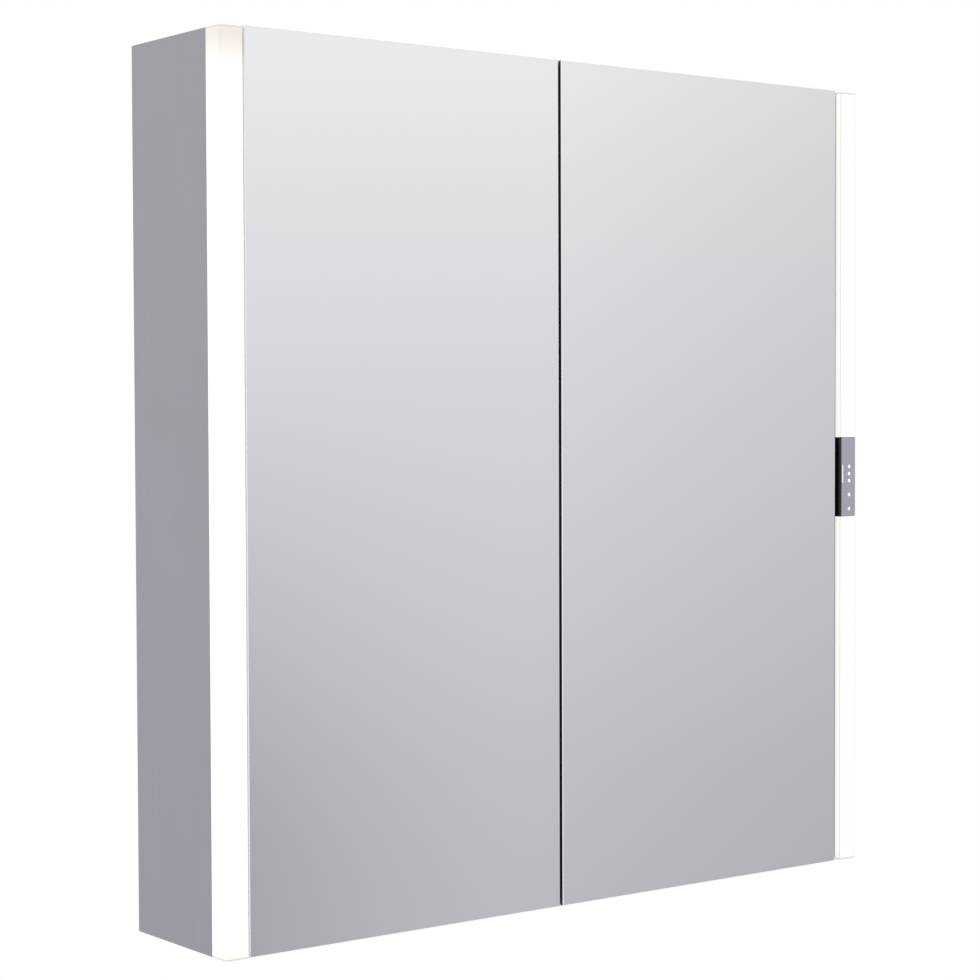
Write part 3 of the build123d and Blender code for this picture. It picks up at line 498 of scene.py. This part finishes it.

# %% [markdown]
# ## Opal acrylic
# The light columns are covered by extruded opal acrylic, which is clear acrylic full of tiny white scattering
# particles. Lit from inside it looks the same brightness all over, a warm white, except where less light gets
# to: near the top of the left column, where the LED strip ends lower, and just above the bottom caps. Along
# the rounded outer corners the emission is lowered too, as painted shade, by up to half on the right column
# and a tenth on the left. An emission that drops a little in those places gives the lit look without a lamp
# inside. The emission is only part of the brightness; the room's light is the rest.

# %% Where the acrylic glows less
GLOW = 0.62
TOP_LOSS, LOW_LOSS = 0.3, 0.06
opal, tree, shader = start_material("opal_acrylic_extruded_lit")
coordinates = add(tree, "ShaderNodeTexCoord")
spot = add(tree, "ShaderNodeSeparateXYZ", {"Vector": coordinates.outputs["Object"]})
facing = add(tree, "ShaderNodeSeparateXYZ", {"Vector": coordinates.outputs["Normal"]})
on_left = add(tree, "ShaderNodeMath", {0: spot.outputs["X"], 1: 0.0}, operation="LESS_THAN").outputs[0]
top_drop = add(tree, "ShaderNodeMapRange", {"Value": spot.outputs["Z"], "From Min": cad_high.z - 38 * MM,
                                            "From Max": cad_high.z - 6 * MM, "To Min": 0.0, "To Max": TOP_LOSS},
               interpolation_type="SMOOTHSTEP").outputs["Result"]
low_drop = add(tree, "ShaderNodeMapRange", {"Value": spot.outputs["Z"], "From Min": cad_low.z + 14 * MM,
                                            "From Max": cad_low.z + 1 * MM, "To Min": 0.0, "To Max": LOW_LOSS},
               interpolation_type="SMOOTHSTEP").outputs["Result"]
# Painted shade: the rounded outer corners glow up to half less on the right column and a tenth less on the
# left.
corner_shade_by_side = add(tree, "ShaderNodeMapRange", {"Value": on_left, "To Min": 0.5,
                                               "To Max": 0.1}).outputs["Result"]
skew = add(tree, "ShaderNodeMath", {0: add(tree, "ShaderNodeMath", {
    0: facing.outputs["X"], 1: facing.outputs["Y"]}, operation="MULTIPLY").outputs[0]}, operation="ABSOLUTE")
corner = add(tree, "ShaderNodeMapRange", {"Value": skew.outputs[0], "From Min": 0.1, "From Max": 0.5})
print("the left column's top end glows", round(100 * TOP_LOSS), "% less")

# %% Opal acrylic shader
top_part = add(tree, "ShaderNodeMath", {0: top_drop, 1: on_left}, operation="MULTIPLY").outputs[0]
painted_corner_shade = add(tree, "ShaderNodeMath", {0: corner.outputs["Result"], 1: corner_shade_by_side}, operation="MULTIPLY")
dimming_and_corner_shade = add(tree, "ShaderNodeMath", {0: add(tree, "ShaderNodeMath", {0: top_part, 1: low_drop}).outputs[0],
                                    1: painted_corner_shade.outputs[0]}).outputs[0]
glow = add(tree, "ShaderNodeMath", {0: dimming_and_corner_shade, 1: -GLOW, 2: GLOW}, operation="MULTIPLY_ADD").outputs[0]
cooling = add(tree, "ShaderNodeMapRange", {"Value": dimming_and_corner_shade, "From Max": TOP_LOSS}).outputs["Result"]
shade = add(tree, "ShaderNodeMix", {"Factor": cooling, "A": colour("fffffc"), "B": colour("fbf0e6")},
            data_type="RGBA")
satin = add(tree, "ShaderNodeTexNoise", {"Vector": coordinates.outputs["Object"], "Scale": 1400.0,
                                         "Detail": 2.0})
bump = add(tree, "ShaderNodeBump", {"Height": satin.outputs["Fac"], "Strength": 0.1, "Distance": 0.02 * MM})
tree.links.new(shade.outputs["Result"], shader.inputs["Emission Color"])
tree.links.new(glow, shader.inputs["Emission Strength"])
tree.links.new(bump.outputs["Normal"], shader.inputs["Normal"])
shader.inputs["Base Color"].default_value = colour("b9b7b3")
shader.inputs["Roughness"].default_value = 0.35
shader.inputs["IOR"].default_value = 1.49
finish_nodes(opal, "left_diffuser", "right_diffuser_lower", "right_diffuser_upper")

# %% [markdown]
# ## Moulded plastics
# The end caps, housings and socket are injection moulded. A mould is either spark-eroded, which leaves a fine
# matt grain on the part, or polished, which leaves a gloss with a slight orange peel. So one helper makes a
# moulded plastic from a shade, a roughness and the size of its grain in millimetres; its colour drifts by a
# trace, as moulded parts do near the gate.

# %% Moulded plastic helper
def moulded(name, shades, rough, grain_mm, depth, ior=1.53):
    """Injection-moulded plastic: a grain of the given size and bump strength, over a slow drift of shade."""
    material, tree, shader = start_material(name)
    place = add(tree, "ShaderNodeTexCoord").outputs["Object"]
    drift = add(tree, "ShaderNodeTexNoise", {"Vector": place, "Scale": 25.0, "Detail": 1.0})
    tone = add(tree, "ShaderNodeMix", {"Factor": drift.outputs["Fac"], "A": colour(shades[0]),
                                       "B": colour(shades[1])}, data_type="RGBA")
    grain = add(tree, "ShaderNodeTexNoise", {"Vector": place, "Scale": 1 / (grain_mm * MM), "Detail": 2.0})
    spread = add(tree, "ShaderNodeMapRange", {"Value": grain.outputs["Fac"], "To Min": rough - 0.05,
                                              "To Max": rough + 0.05})
    bump = add(tree, "ShaderNodeBump", {"Height": grain.outputs["Fac"], "Strength": depth,
                                        "Distance": 0.03 * MM})
    tree.links.new(tone.outputs["Result"], shader.inputs["Base Color"])
    tree.links.new(spread.outputs["Result"], shader.inputs["Roughness"])
    tree.links.new(bump.outputs["Normal"], shader.inputs["Normal"])
    shader.inputs["IOR"].default_value = ior
    return material


print("a 0.4 mm grain is a noise of scale", round(1 / (0.4 * MM)))

# %% Caps, housings and socket
cap_white = moulded("white_abs_spark_eroded", ("e9e5df", "efece7"), 0.55, 0.4, 0.25)
soften(cap_white, 0.25, "end_caps")
soften(moulded("white_abs_driver_case", ("e2e2e0", "eaeae8"), 0.5, 0.5, 0.3), 1.2, "led_driver")
soften(moulded("black_abs_polished", ("08080a", "0e0e11"), 0.1, 1.5, 0.05), 0.2, "control_housing")
socket_white = moulded("white_urea_socket_polished", ("e9e9e6", "f0f0ee"), 0.14, 1.5, 0.06)
soften(socket_white, 0.5, "shaver_socket")
soften(moulded("natural_nylon_terminal", ("d8d3c5", "e2ded2"), 0.45, 0.6, 0.15), 0.4, "terminal_block")
soften(moulded("grey_abs_catch_case", ("5c5c60", "646468"), 0.5, 0.4, 0.25), 0.3, "magnetic_catches")

# %% [markdown]
# ## Leads and rubber
# The leads have smooth soft PVC sheaths, slightly glossy. The seal, grommets and wall pads are black EPDM
# rubber, which scatters light so much that it never looks fully black, and has a dusty matt surface.

# %% Leads and rubber
finish_nodes(moulded("white_pvc_lead_extruded", ("e6e6e3", "ededeb"), 0.32, 0.8, 0.08, ior=1.54),
             "led_harness")
finish_nodes(moulded("grey_pvc_lead_extruded", ("68686a", "737375"), 0.32, 0.8, 0.08, ior=1.54),
             "mains_wiring")
rubber = moulded("black_epdm_rubber_moulded", ("131313", "1b1b1a"), 0.75, 0.35, 0.3, ior=1.5)
soften(rubber, 0.3, "partition_seal")
soften(rubber, 1.5, "wall_spacers")
finish_nodes(rubber, "grommets")

# %% [markdown]
# ## Circuit boards and LEDs
# The LED strips are aluminium-core boards under white solder mask, with copper tracks that show through as a
# slightly raised, slightly greyer pair of bands, and the chips are yellow phosphor that glows warm white. The
# touch-sensor board is ordinary green solder mask with fine tracks. Stretched cells of a brick pattern stand
# for the tracks, 3 mm apart instead of 0.3 mm, so that they can be seen.

# %% Boards
def solder_mask(name, shades, cell_mm):
    """A printed board: solder mask over raised tracks laid out as a brick pattern in X and Z."""
    material, tree, shader = start_material(name)
    place = add(tree, "ShaderNodeTexCoord").outputs["Object"]
    level = add(tree, "ShaderNodeMapping", {"Vector": place, "Rotation": (math.pi / 2, 0,
                                                                          0)}).outputs["Vector"]
    tracks = add(tree, "ShaderNodeTexBrick", {
        "Vector": level, "Color1": colour(shades[0]), "Color2": colour(shades[1]), "Mortar": colour(shades[2]),
        "Scale": 1.0, "Mortar Size": 0.3 * MM, "Brick Width": cell_mm * MM, "Row Height": 1.5 * MM})
    bump = add(tree, "ShaderNodeBump", {"Height": tracks.outputs["Fac"], "Strength": 0.3,
                                        "Distance": 0.05 * MM})
    tree.links.new(tracks.outputs["Color"], shader.inputs["Base Color"])
    tree.links.new(bump.outputs["Normal"], shader.inputs["Normal"])
    shader.inputs["Roughness"].default_value = 0.3
    return material


finish_nodes(solder_mask("white_solder_mask_board", ("e8e8e4", "e2e2de", "d2d2cc"), 12.0), "led_boards")
finish_nodes(solder_mask("green_solder_mask_board", ("14532a", "175a2e", "0c3a1c"), 4.0), "control_board")
phosphor, tree, shader = start_material("yellow_phosphor_chip_lit")
place = add(tree, "ShaderNodeTexCoord").outputs["Object"]
grains = add(tree, "ShaderNodeTexVoronoi", {"Vector": place, "Scale": 2500.0})
tone = add(tree, "ShaderNodeMix", {"Factor": grains.outputs["Distance"], "A": colour("ffd96b"),
                                   "B": colour("fff0b8")}, data_type="RGBA")
tree.links.new(tone.outputs["Result"], shader.inputs["Base Color"])
tree.links.new(tone.outputs["Result"], shader.inputs["Emission Color"])
shader.inputs["Emission Strength"].default_value = 2.0
shader.inputs["Roughness"].default_value = 0.4
finish_nodes(phosphor, "led_chips")

# %% [markdown]
# ## Touch plate and its lights
# The touch plate is glass lacquered metallic grey from behind: a grey with a soft metallic sparkle under a
# clear gloss. Fine upright brushing shows in it. The light guides are clear polycarbonate rods whose frosted
# ends glow softly, because an LED stands behind them.

# %% Touch plate
plate, tree, shader = start_material("grey_metallic_lacquered_glass")
place = add(tree, "ShaderNodeTexCoord").outputs["Object"]
brushing = add(tree, "ShaderNodeTexNoise", {
    "Vector": add(tree, "ShaderNodeMapping", {"Vector": place, "Scale": (1500, 1500, 25)}).outputs["Vector"],
    "Scale": 1.0, "Detail": 2.0})
tone = add(tree, "ShaderNodeMix", {"Factor": brushing.outputs["Fac"], "A": colour("b5b4be"),
                                   "B": colour("c3c2cc")}, data_type="RGBA")
tree.links.new(tone.outputs["Result"], shader.inputs["Base Color"])
shader.inputs["Metallic"].default_value = 0.8
shader.inputs["Roughness"].default_value = 0.35
shader.inputs["Coat Weight"].default_value = 0.3
shader.inputs["Coat Roughness"].default_value = 0.08
soften(plate, 0.15, "control_face")

# %% Light guides
guide, tree, shader = start_material("clear_polycarbonate_guide_lit")
place = add(tree, "ShaderNodeTexCoord").outputs["Object"]
frost = add(tree, "ShaderNodeTexNoise", {"Vector": place, "Scale": 3000.0})
tone = add(tree, "ShaderNodeMix", {"Factor": frost.outputs["Fac"], "A": colour("e6e6ee"),
                                   "B": colour("ffffff")}, data_type="RGBA")
tree.links.new(tone.outputs["Result"], shader.inputs["Emission Color"])
shader.inputs["Base Color"].default_value = colour("e8e8ee")
shader.inputs["Emission Strength"].default_value = 0.45
shader.inputs["Roughness"].default_value = 0.5
shader.inputs["IOR"].default_value = 1.585
soften(guide, 0.2, "touch_light_guides")

# %% [markdown]
# ## Plated steels and cast zinc
# Hinges are pressed steel with satin nickel: a slightly warm metal with brushing along the strip. Pins and
# pegs are turned and bright nickel plated. Screws are zinc plated and blue-passivated, which is cooler and
# duller. The wall hooks are hot-dip galvanised, with the large crystals, or spangle, that molten zinc leaves,
# and the hangers are tumbled zinc castings, evenly dull with a pebbled skin. The helper takes two shades, a
# roughness, a grain size and a stretch along Z, and the crystals get a cell pattern instead of a noise.

# %% Plated metal helper
def plated(name, shades, rough, grain_mm, stretch, crystals=False, depth=0.1):
    """A metal whose shade and roughness follow a grain, or crystals, of the given size."""
    material, tree, shader = start_material(name)
    place = add(tree, "ShaderNodeTexCoord").outputs["Object"]
    scale = 1 / (grain_mm * MM)
    grid = add(tree, "ShaderNodeMapping", {"Vector": place, "Scale": (scale, scale, scale / stretch)})
    if crystals:
        cells = add(tree, "ShaderNodeTexVoronoi", {"Vector": grid.outputs["Vector"], "Scale": 1.0})
        pattern = add(tree, "ShaderNodeSeparateColor", {"Color": cells.outputs["Color"]}).outputs["Red"]
    else:
        pattern = add(tree, "ShaderNodeTexNoise", {"Vector": grid.outputs["Vector"], "Scale": 1.0,
                                                   "Detail": 3.0}).outputs["Fac"]
    tone = add(tree, "ShaderNodeMix", {"Factor": pattern, "A": colour(shades[0]), "B": colour(shades[1])},
               data_type="RGBA")
    spread = add(tree, "ShaderNodeMapRange", {"Value": pattern, "To Min": rough - 0.07,
                                              "To Max": rough + 0.07})
    bump = add(tree, "ShaderNodeBump", {"Height": pattern, "Strength": depth, "Distance": 0.05 * MM})
    tree.links.new(tone.outputs["Result"], shader.inputs["Base Color"])
    tree.links.new(spread.outputs["Result"], shader.inputs["Roughness"])
    tree.links.new(bump.outputs["Normal"], shader.inputs["Normal"])
    shader.inputs["Metallic"].default_value = 1.0
    return material


print("6 mm zinc crystals are cells of scale", round(1 / (6 * MM)))

# %% Metal parts
hinge_metal = plated("satin_nickel_pressed_steel", ("b2aea6", "c6c3bc"), 0.3, 0.3, 20)
soften(hinge_metal, 0.5, "hinge_brackets")
soften(hinge_metal, 0.3, "left_hinge_leaves", "right_hinge_leaves")
bright_nickel = plated("bright_nickel_turned_steel", ("c9c5bd", "d3d0ca"), 0.12, 0.2, 1)
soften(bright_nickel, 0.3, "hinge_pins")
soften(bright_nickel, 0.5, "shelf_pegs")
soften(bright_nickel, 0.2, "left_strike_plate", "right_strike_plate")
soften(plated("galvanised_steel_spangle", ("a3a7ab", "c3c6c9"), 0.35, 6.0, 1, crystals=True, depth=0.05), 0.5,
       "wall_hooks")
soften(plated("tumbled_zinc_casting", ("8f9092", "a4a5a7"), 0.45, 0.7, 1, depth=0.3), 1.0, "hangers")

# %% [markdown]
# ## Screws with a cross recess
# The CAD screws are plain steps. A real pan-head screw has a domed head with a cross-shaped recess for the
# driver. The head starts as a grid of nine cells: five of them, the cross, are pushed in and narrowed. The
# grid's border is bridged to a circle, and the circle is drawn out ring by ring into the dome, the head's
# side, the underside and the shank. Each CAD screw gives its own place: its box says where the head and the
# shank are.

# %% Separate solids of a node
def solid_boxes(name):
    """(lowest, highest) corner of every separate solid in a CAD node."""
    mesh = frame["nodes"][name].data
    boxes = []
    for faces in solids_of(name):
        points = [mesh.vertices[v].co for face in faces for v in mesh.polygons[face].vertices]
        boxes.append((Vector([min(p[i] for p in points) for i in range(3)]),
                      Vector([max(p[i] for p in points) for i in range(3)])))
    return boxes


print("bracket screws:", len(solid_boxes("bracket_screws")))

# %% One pan-head screw
CROWN = 0.72


def draw_out(shape, edges, steps):
    """Extrudes a ring of edges through steps of (scale about Z, height); returns the last ring."""
    for factor, rise in steps:
        made = bmesh.ops.extrude_edge_only(shape, edges=edges)["geom"]
        verts = [g for g in made if isinstance(g, bmesh.types.BMVert)]
        edges = [g for g in made if isinstance(g, bmesh.types.BMEdge)]
        bmesh.ops.scale(shape, vec=(factor, factor, 1), verts=verts)
        bmesh.ops.translate(shape, vec=(0, 0, rise), verts=verts)
    return edges


def pan_head_screw(shape, head_r, head_h, shank_r, shank_l):
    """Adds a screw along Z to a bmesh, the seat of its head at the origin and the head above it."""
    before = set(shape.verts)
    grid = bmesh.ops.create_grid(shape, x_segments=3, y_segments=3, size=0.5 * head_r)["verts"]
    cells = {f for v in grid for f in v.link_faces}
    border = [e for e in {e for v in grid for e in v.link_edges} if e.is_boundary]
    cross = [f for f in cells if min(abs(f.calc_center_median().x),
                                     abs(f.calc_center_median().y)) < 0.17 * head_r]
    bmesh.ops.translate(shape, vec=(0, 0, head_h), verts=grid)
    rim = bmesh.ops.create_circle(shape, segments=24, radius=CROWN * head_r)["verts"]
    bmesh.ops.translate(shape, vec=(0, 0, head_h), verts=rim)
    rim_edges = list({e for v in rim for e in v.link_edges})
    bmesh.ops.bridge_loops(shape, edges=border + rim_edges)
    floor_verts = [g for g in bmesh.ops.extrude_face_region(shape, geom=cross)["geom"]
                   if isinstance(g, bmesh.types.BMVert)]
    bmesh.ops.delete(shape, geom=cross, context="FACES")
    bmesh.ops.scale(shape, vec=(0.7, 0.7, 1), verts=floor_verts)
    bmesh.ops.translate(shape, vec=(0, 0, -0.6 * head_h), verts=floor_verts)
    outline = ((0.9, -0.08), (1.0, -0.3), (1.0, -1.0))
    steps, last_r, last_z = [], CROWN, 0.0
    for radius, depth in outline:
        steps.append((radius / last_r, (depth - last_z) * head_h))
        last_r, last_z = radius, depth
    ring = draw_out(shape, rim_edges, steps + [
        (shank_r / head_r, 0), (1, -0.85 * shank_l), (0.45, -0.15 * shank_l)])
    bmesh.ops.contextual_create(shape, geom=ring)
    made = [v for v in shape.verts if v not in before]
    bmesh.ops.recalc_face_normals(shape, faces=list({f for v in made for f in v.link_faces}))
    return made


trial = bmesh.new()
pan_head_screw(trial, 3.8 * MM, 2.0 * MM, 2.0 * MM, 10 * MM)
print("one screw has", len(trial.faces), "faces")
trial.free()

# %% Place the screws
def screws_for(material, name, axis, head_r, head_h, shank_r):
    """Replaces a CAD node of screws that lie along X or Y by pan-head screws with a cross recess."""
    shape = bmesh.new()
    index = "XY".index(axis)
    for low, high in solid_boxes(name):
        centre = (low + high) / 2
        sign = 1 if axis == "Y" or centre.x < (cad_low.x + cad_high.x) / 2 else -1
        if name == "carcass_screws":
            sign = -sign
        tip, top = (low[index], high[index]) if sign > 0 else (high[index], low[index])
        seat = top - sign * head_h
        made = pan_head_screw(shape, head_r, head_h, shank_r, abs(seat - tip))
        if axis == "X":
            turn_to = Matrix.Rotation(sign * math.pi / 2, 3, "Y")
        else:
            turn_to = Matrix.Rotation(-math.pi / 2, 3, "X")
        bmesh.ops.rotate(shape, cent=(0, 0, 0), matrix=turn_to, verts=made)
        place = Vector((seat, centre.y, centre.z)) if axis == "X" else Vector((centre.x, seat, centre.z))
        bmesh.ops.translate(shape, vec=place, verts=made)
    replace_node(f"{name}_pan_head", shape, material, name)
    print(len(solid_boxes(name)), "pan-head screws for", name)


screw_zinc = plated("blue_zinc_plated_steel", ("aeb2b8", "c0c3c8"), 0.3, 0.3, 1)
screws_for(screw_zinc, "bracket_screws", "X", 3.8 * MM, 2.0 * MM, 2.0 * MM)
screws_for(screw_zinc, "carcass_screws", "X", 3.8 * MM, 2.4 * MM, 1.95 * MM)
for side in ("left", "right"):
    screws_for(screw_zinc, f"{side}_leaf_screws", "Y", 2.7 * MM, 0.9 * MM, 1.4 * MM)

# %% [markdown]
# ## Cable gland
# A nylon gland is a threaded body through the sheet, with a lock nut inside and, outside, a domed hexagon nut
# that squeezes a rubber ring on the cord. The CAD shows only its envelope. A profile spun about the bore
# gives the round body with its dome and the lock nut's flange, and a six-sided ring, bevelled, gives the
# hexagon. Small ribs round the flange give the fingers a grip.

# %% Rings and spun shapes
def spin_profile(shape, points, turns=48):
    """Spins a closed profile of (radius, height) points about Z into a ring."""
    verts = [shape.verts.new((r, 0, z)) for r, z in points]
    edges = [shape.edges.new(pair) for pair in zip(verts, verts[1:] + verts[:1])]
    bmesh.ops.spin(shape, geom=verts + edges, cent=(0, 0, 0), axis=(0, 0, 1), dvec=(0, 0, 0), angle=math.tau,
                   steps=turns, use_merge=True, use_duplicate=False)
    bmesh.ops.remove_doubles(shape, verts=shape.verts, dist=0.001 * MM)
    bmesh.ops.recalc_face_normals(shape, faces=shape.faces)


def hexagon_ring(shape, outer_r, bore_r, low, high, chamfer):
    """A hexagon nut with a round bore: a six-sided ring bridged to a circle, extruded and bevelled."""
    before = set(shape.faces)
    outside = bmesh.ops.create_circle(shape, segments=6, radius=outer_r)["verts"]
    inside = bmesh.ops.create_circle(shape, segments=24, radius=bore_r)["verts"]
    loops = list({e for v in outside + inside for e in v.link_edges})
    flat = bmesh.ops.bridge_loops(shape, edges=loops)["faces"]
    bmesh.ops.translate(shape, vec=(0, 0, low), verts=outside + inside)
    top = bmesh.ops.extrude_face_region(shape, geom=flat, use_keep_orig=True)["geom"]
    top_verts = [g for g in top if isinstance(g, bmesh.types.BMVert)]
    bmesh.ops.translate(shape, vec=(0, 0, high - low), verts=top_verts)
    made = [f for f in shape.faces if f not in before]
    bmesh.ops.recalc_face_normals(shape, faces=made)
    rim = [e for e in {e for f in made for e in f.edges} if len(e.link_faces) == 2
           and e.calc_face_angle() > 0.8 and min(v.co.xy.length for v in e.verts) > 0.95 * outer_r]
    bmesh.ops.bevel(shape, geom=rim, offset=chamfer, offset_type="OFFSET", affect="EDGES", segments=2,
                    profile=0.5,
                    material=-1, clamp_overlap=False)


# %% Gland
RIBS = 24
gland_low, gland_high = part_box("cable_gland")
gland_centre = (gland_low[0] + gland_high[0]) / 2, (gland_low[2] + gland_high[2]) / 2
long = gland_high[1] - gland_low[1]
shape = bmesh.new()
spin_profile(shape, [(r * MM, z) for r, z in (
    (4.5, 0.0), (10.2, 0.0), (11.0, 0.6 * MM), (11.0, 2.4 * MM), (10.2, 3.0 * MM), (7.9, 3.0 * MM),
    (7.9, 6.0 * MM), (8.8, 6.1 * MM), (8.8, long - 3.4 * MM), (8.2, long - 1.6 * MM), (6.9, long - 0.5 * MM),
    (5.6, long), (4.9, long - 0.3 * MM), (4.5, long - 1.4 * MM))])
hexagon_ring(shape, 11.0 * MM, 8.7 * MM, 6.05 * MM, long - 3.0 * MM, 0.5 * MM)
for number in range(RIBS):
    rib = bmesh.ops.create_cube(shape, size=1.0)["verts"]
    bmesh.ops.scale(shape, vec=(0.7 * MM, 0.5 * MM, 1.6 * MM), verts=rib)
    bmesh.ops.translate(shape, vec=(10.75 * MM, 0, 1.5 * MM), verts=rib)
    bmesh.ops.rotate(shape, cent=(0, 0, 0), matrix=Matrix.Rotation(number * math.tau / RIBS, 3, "Z"),
                     verts=rib)
bmesh.ops.rotate(shape, cent=(0, 0, 0), matrix=Matrix.Rotation(-math.pi / 2, 3, "X"), verts=shape.verts)
bmesh.ops.translate(shape, vec=(gland_centre[0], gland_low[1], gland_centre[1]), verts=shape.verts)
gland_nylon = moulded("black_nylon_gland_moulded", ("161616", "1e1e1e"), 0.5, 0.5, 0.2)
gland = replace_node("cable_gland_domed", shape, gland_nylon, "cable_gland")
print("gland faces:", len(gland.data.polygons))

# %% [markdown]
# ## Magnetic catches
# A push-fit catch is a grey plastic case with a magnet between two steel pole plates, whose ends stand a
# little out of the case's front and pull on the door's strike plate. The rounded case came from the CAD; the
# pole plates are added to it as one more piece on the same body.

# %% Pole plates
poles = bmesh.new()
for low, high in solid_boxes("magnetic_catches"):
    middle = (low + high) / 2
    for shift in (-3.2 * MM, 3.2 * MM):
        blade = bmesh.ops.create_cube(poles, size=1.0)["verts"]
        bmesh.ops.scale(poles, vec=(17 * MM, 3.0 * MM, 1.6 * MM), verts=blade)
        bmesh.ops.translate(poles, vec=(middle.x, low.y + 1.0 * MM, middle.z + shift), verts=blade)
bmesh.ops.bevel(poles, geom=poles.edges[:], offset=0.25 * MM, offset_type="OFFSET", affect="EDGES",
                segments=2,
                profile=0.5, material=-1, clamp_overlap=False)
pole_plates = make_piece("catch_pole_plates", poles, bright_nickel, "cabinet")
print("pole plates:", len(pole_plates.data.polygons), "faces")

# %% [markdown]
# ## Socket details
# A raised collar runs round the recess of a shaver outlet, so that the plug is guided in and water stays out.
# It is a turned shape, so a small circle is spun about the outlet's axis.

# %% Socket collar
socket_low, socket_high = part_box("shaver_socket")
socket_x, socket_z = (socket_low[0] + socket_high[0]) / 2, (socket_low[2] + socket_high[2]) / 2
collar = bmesh.new()
COLLAR_R, ROUND_R = 20.4 * MM, 0.9 * MM
angles = [math.tau * k / 12 for k in range(12)]
spin_profile(collar, [(COLLAR_R + ROUND_R * math.cos(a), ROUND_R * math.sin(a)) for a in angles], turns=64)
bmesh.ops.translate(collar, vec=(0, 0, -0.35 * MM), verts=collar.verts)
bmesh.ops.rotate(collar, cent=(0, 0, 0), matrix=Matrix.Rotation(math.pi / 2, 3, "X"), verts=collar.verts)
bmesh.ops.translate(collar, vec=(socket_x, socket_low[1] + 0.6 * MM, socket_z), verts=collar.verts)
make_piece("socket_collar", collar, socket_white, "cabinet")
print("socket centre in mm:", round(socket_x / MM, 1), round(socket_z / MM, 1))

# %% [markdown]
# ## Door core
# Between its two mirrors the door has a light board of pressed wood flakes. It is hidden in use and shows
# only when the door is taken apart: pale flakes of about 4 mm in many directions, raw and matt.

# %% Flake board
board, tree, shader = start_material("pressed_flake_board_raw")
place = add(tree, "ShaderNodeTexCoord").outputs["Object"]
flakes = add(tree, "ShaderNodeTexVoronoi", {
    "Vector": add(tree, "ShaderNodeMapping", {"Vector": place, "Scale": (250, 250, 600)}).outputs["Vector"],
    "Scale": 1.0})
which = add(tree, "ShaderNodeSeparateColor", {"Color": flakes.outputs["Color"]})
tone = add(tree, "ShaderNodeMix", {"Factor": which.outputs["Red"], "A": colour("a98c66"),
                                   "B": colour("cdb48d")}, data_type="RGBA")
bump = add(tree, "ShaderNodeBump", {"Height": flakes.outputs["Distance"], "Strength": 0.4,
                                    "Distance": 0.2 * MM})
tree.links.new(tone.outputs["Result"], shader.inputs["Base Color"])
tree.links.new(bump.outputs["Normal"], shader.inputs["Normal"])
shader.inputs["Roughness"].default_value = 0.85
finish_nodes(board, "left_door_core", "right_door_core")
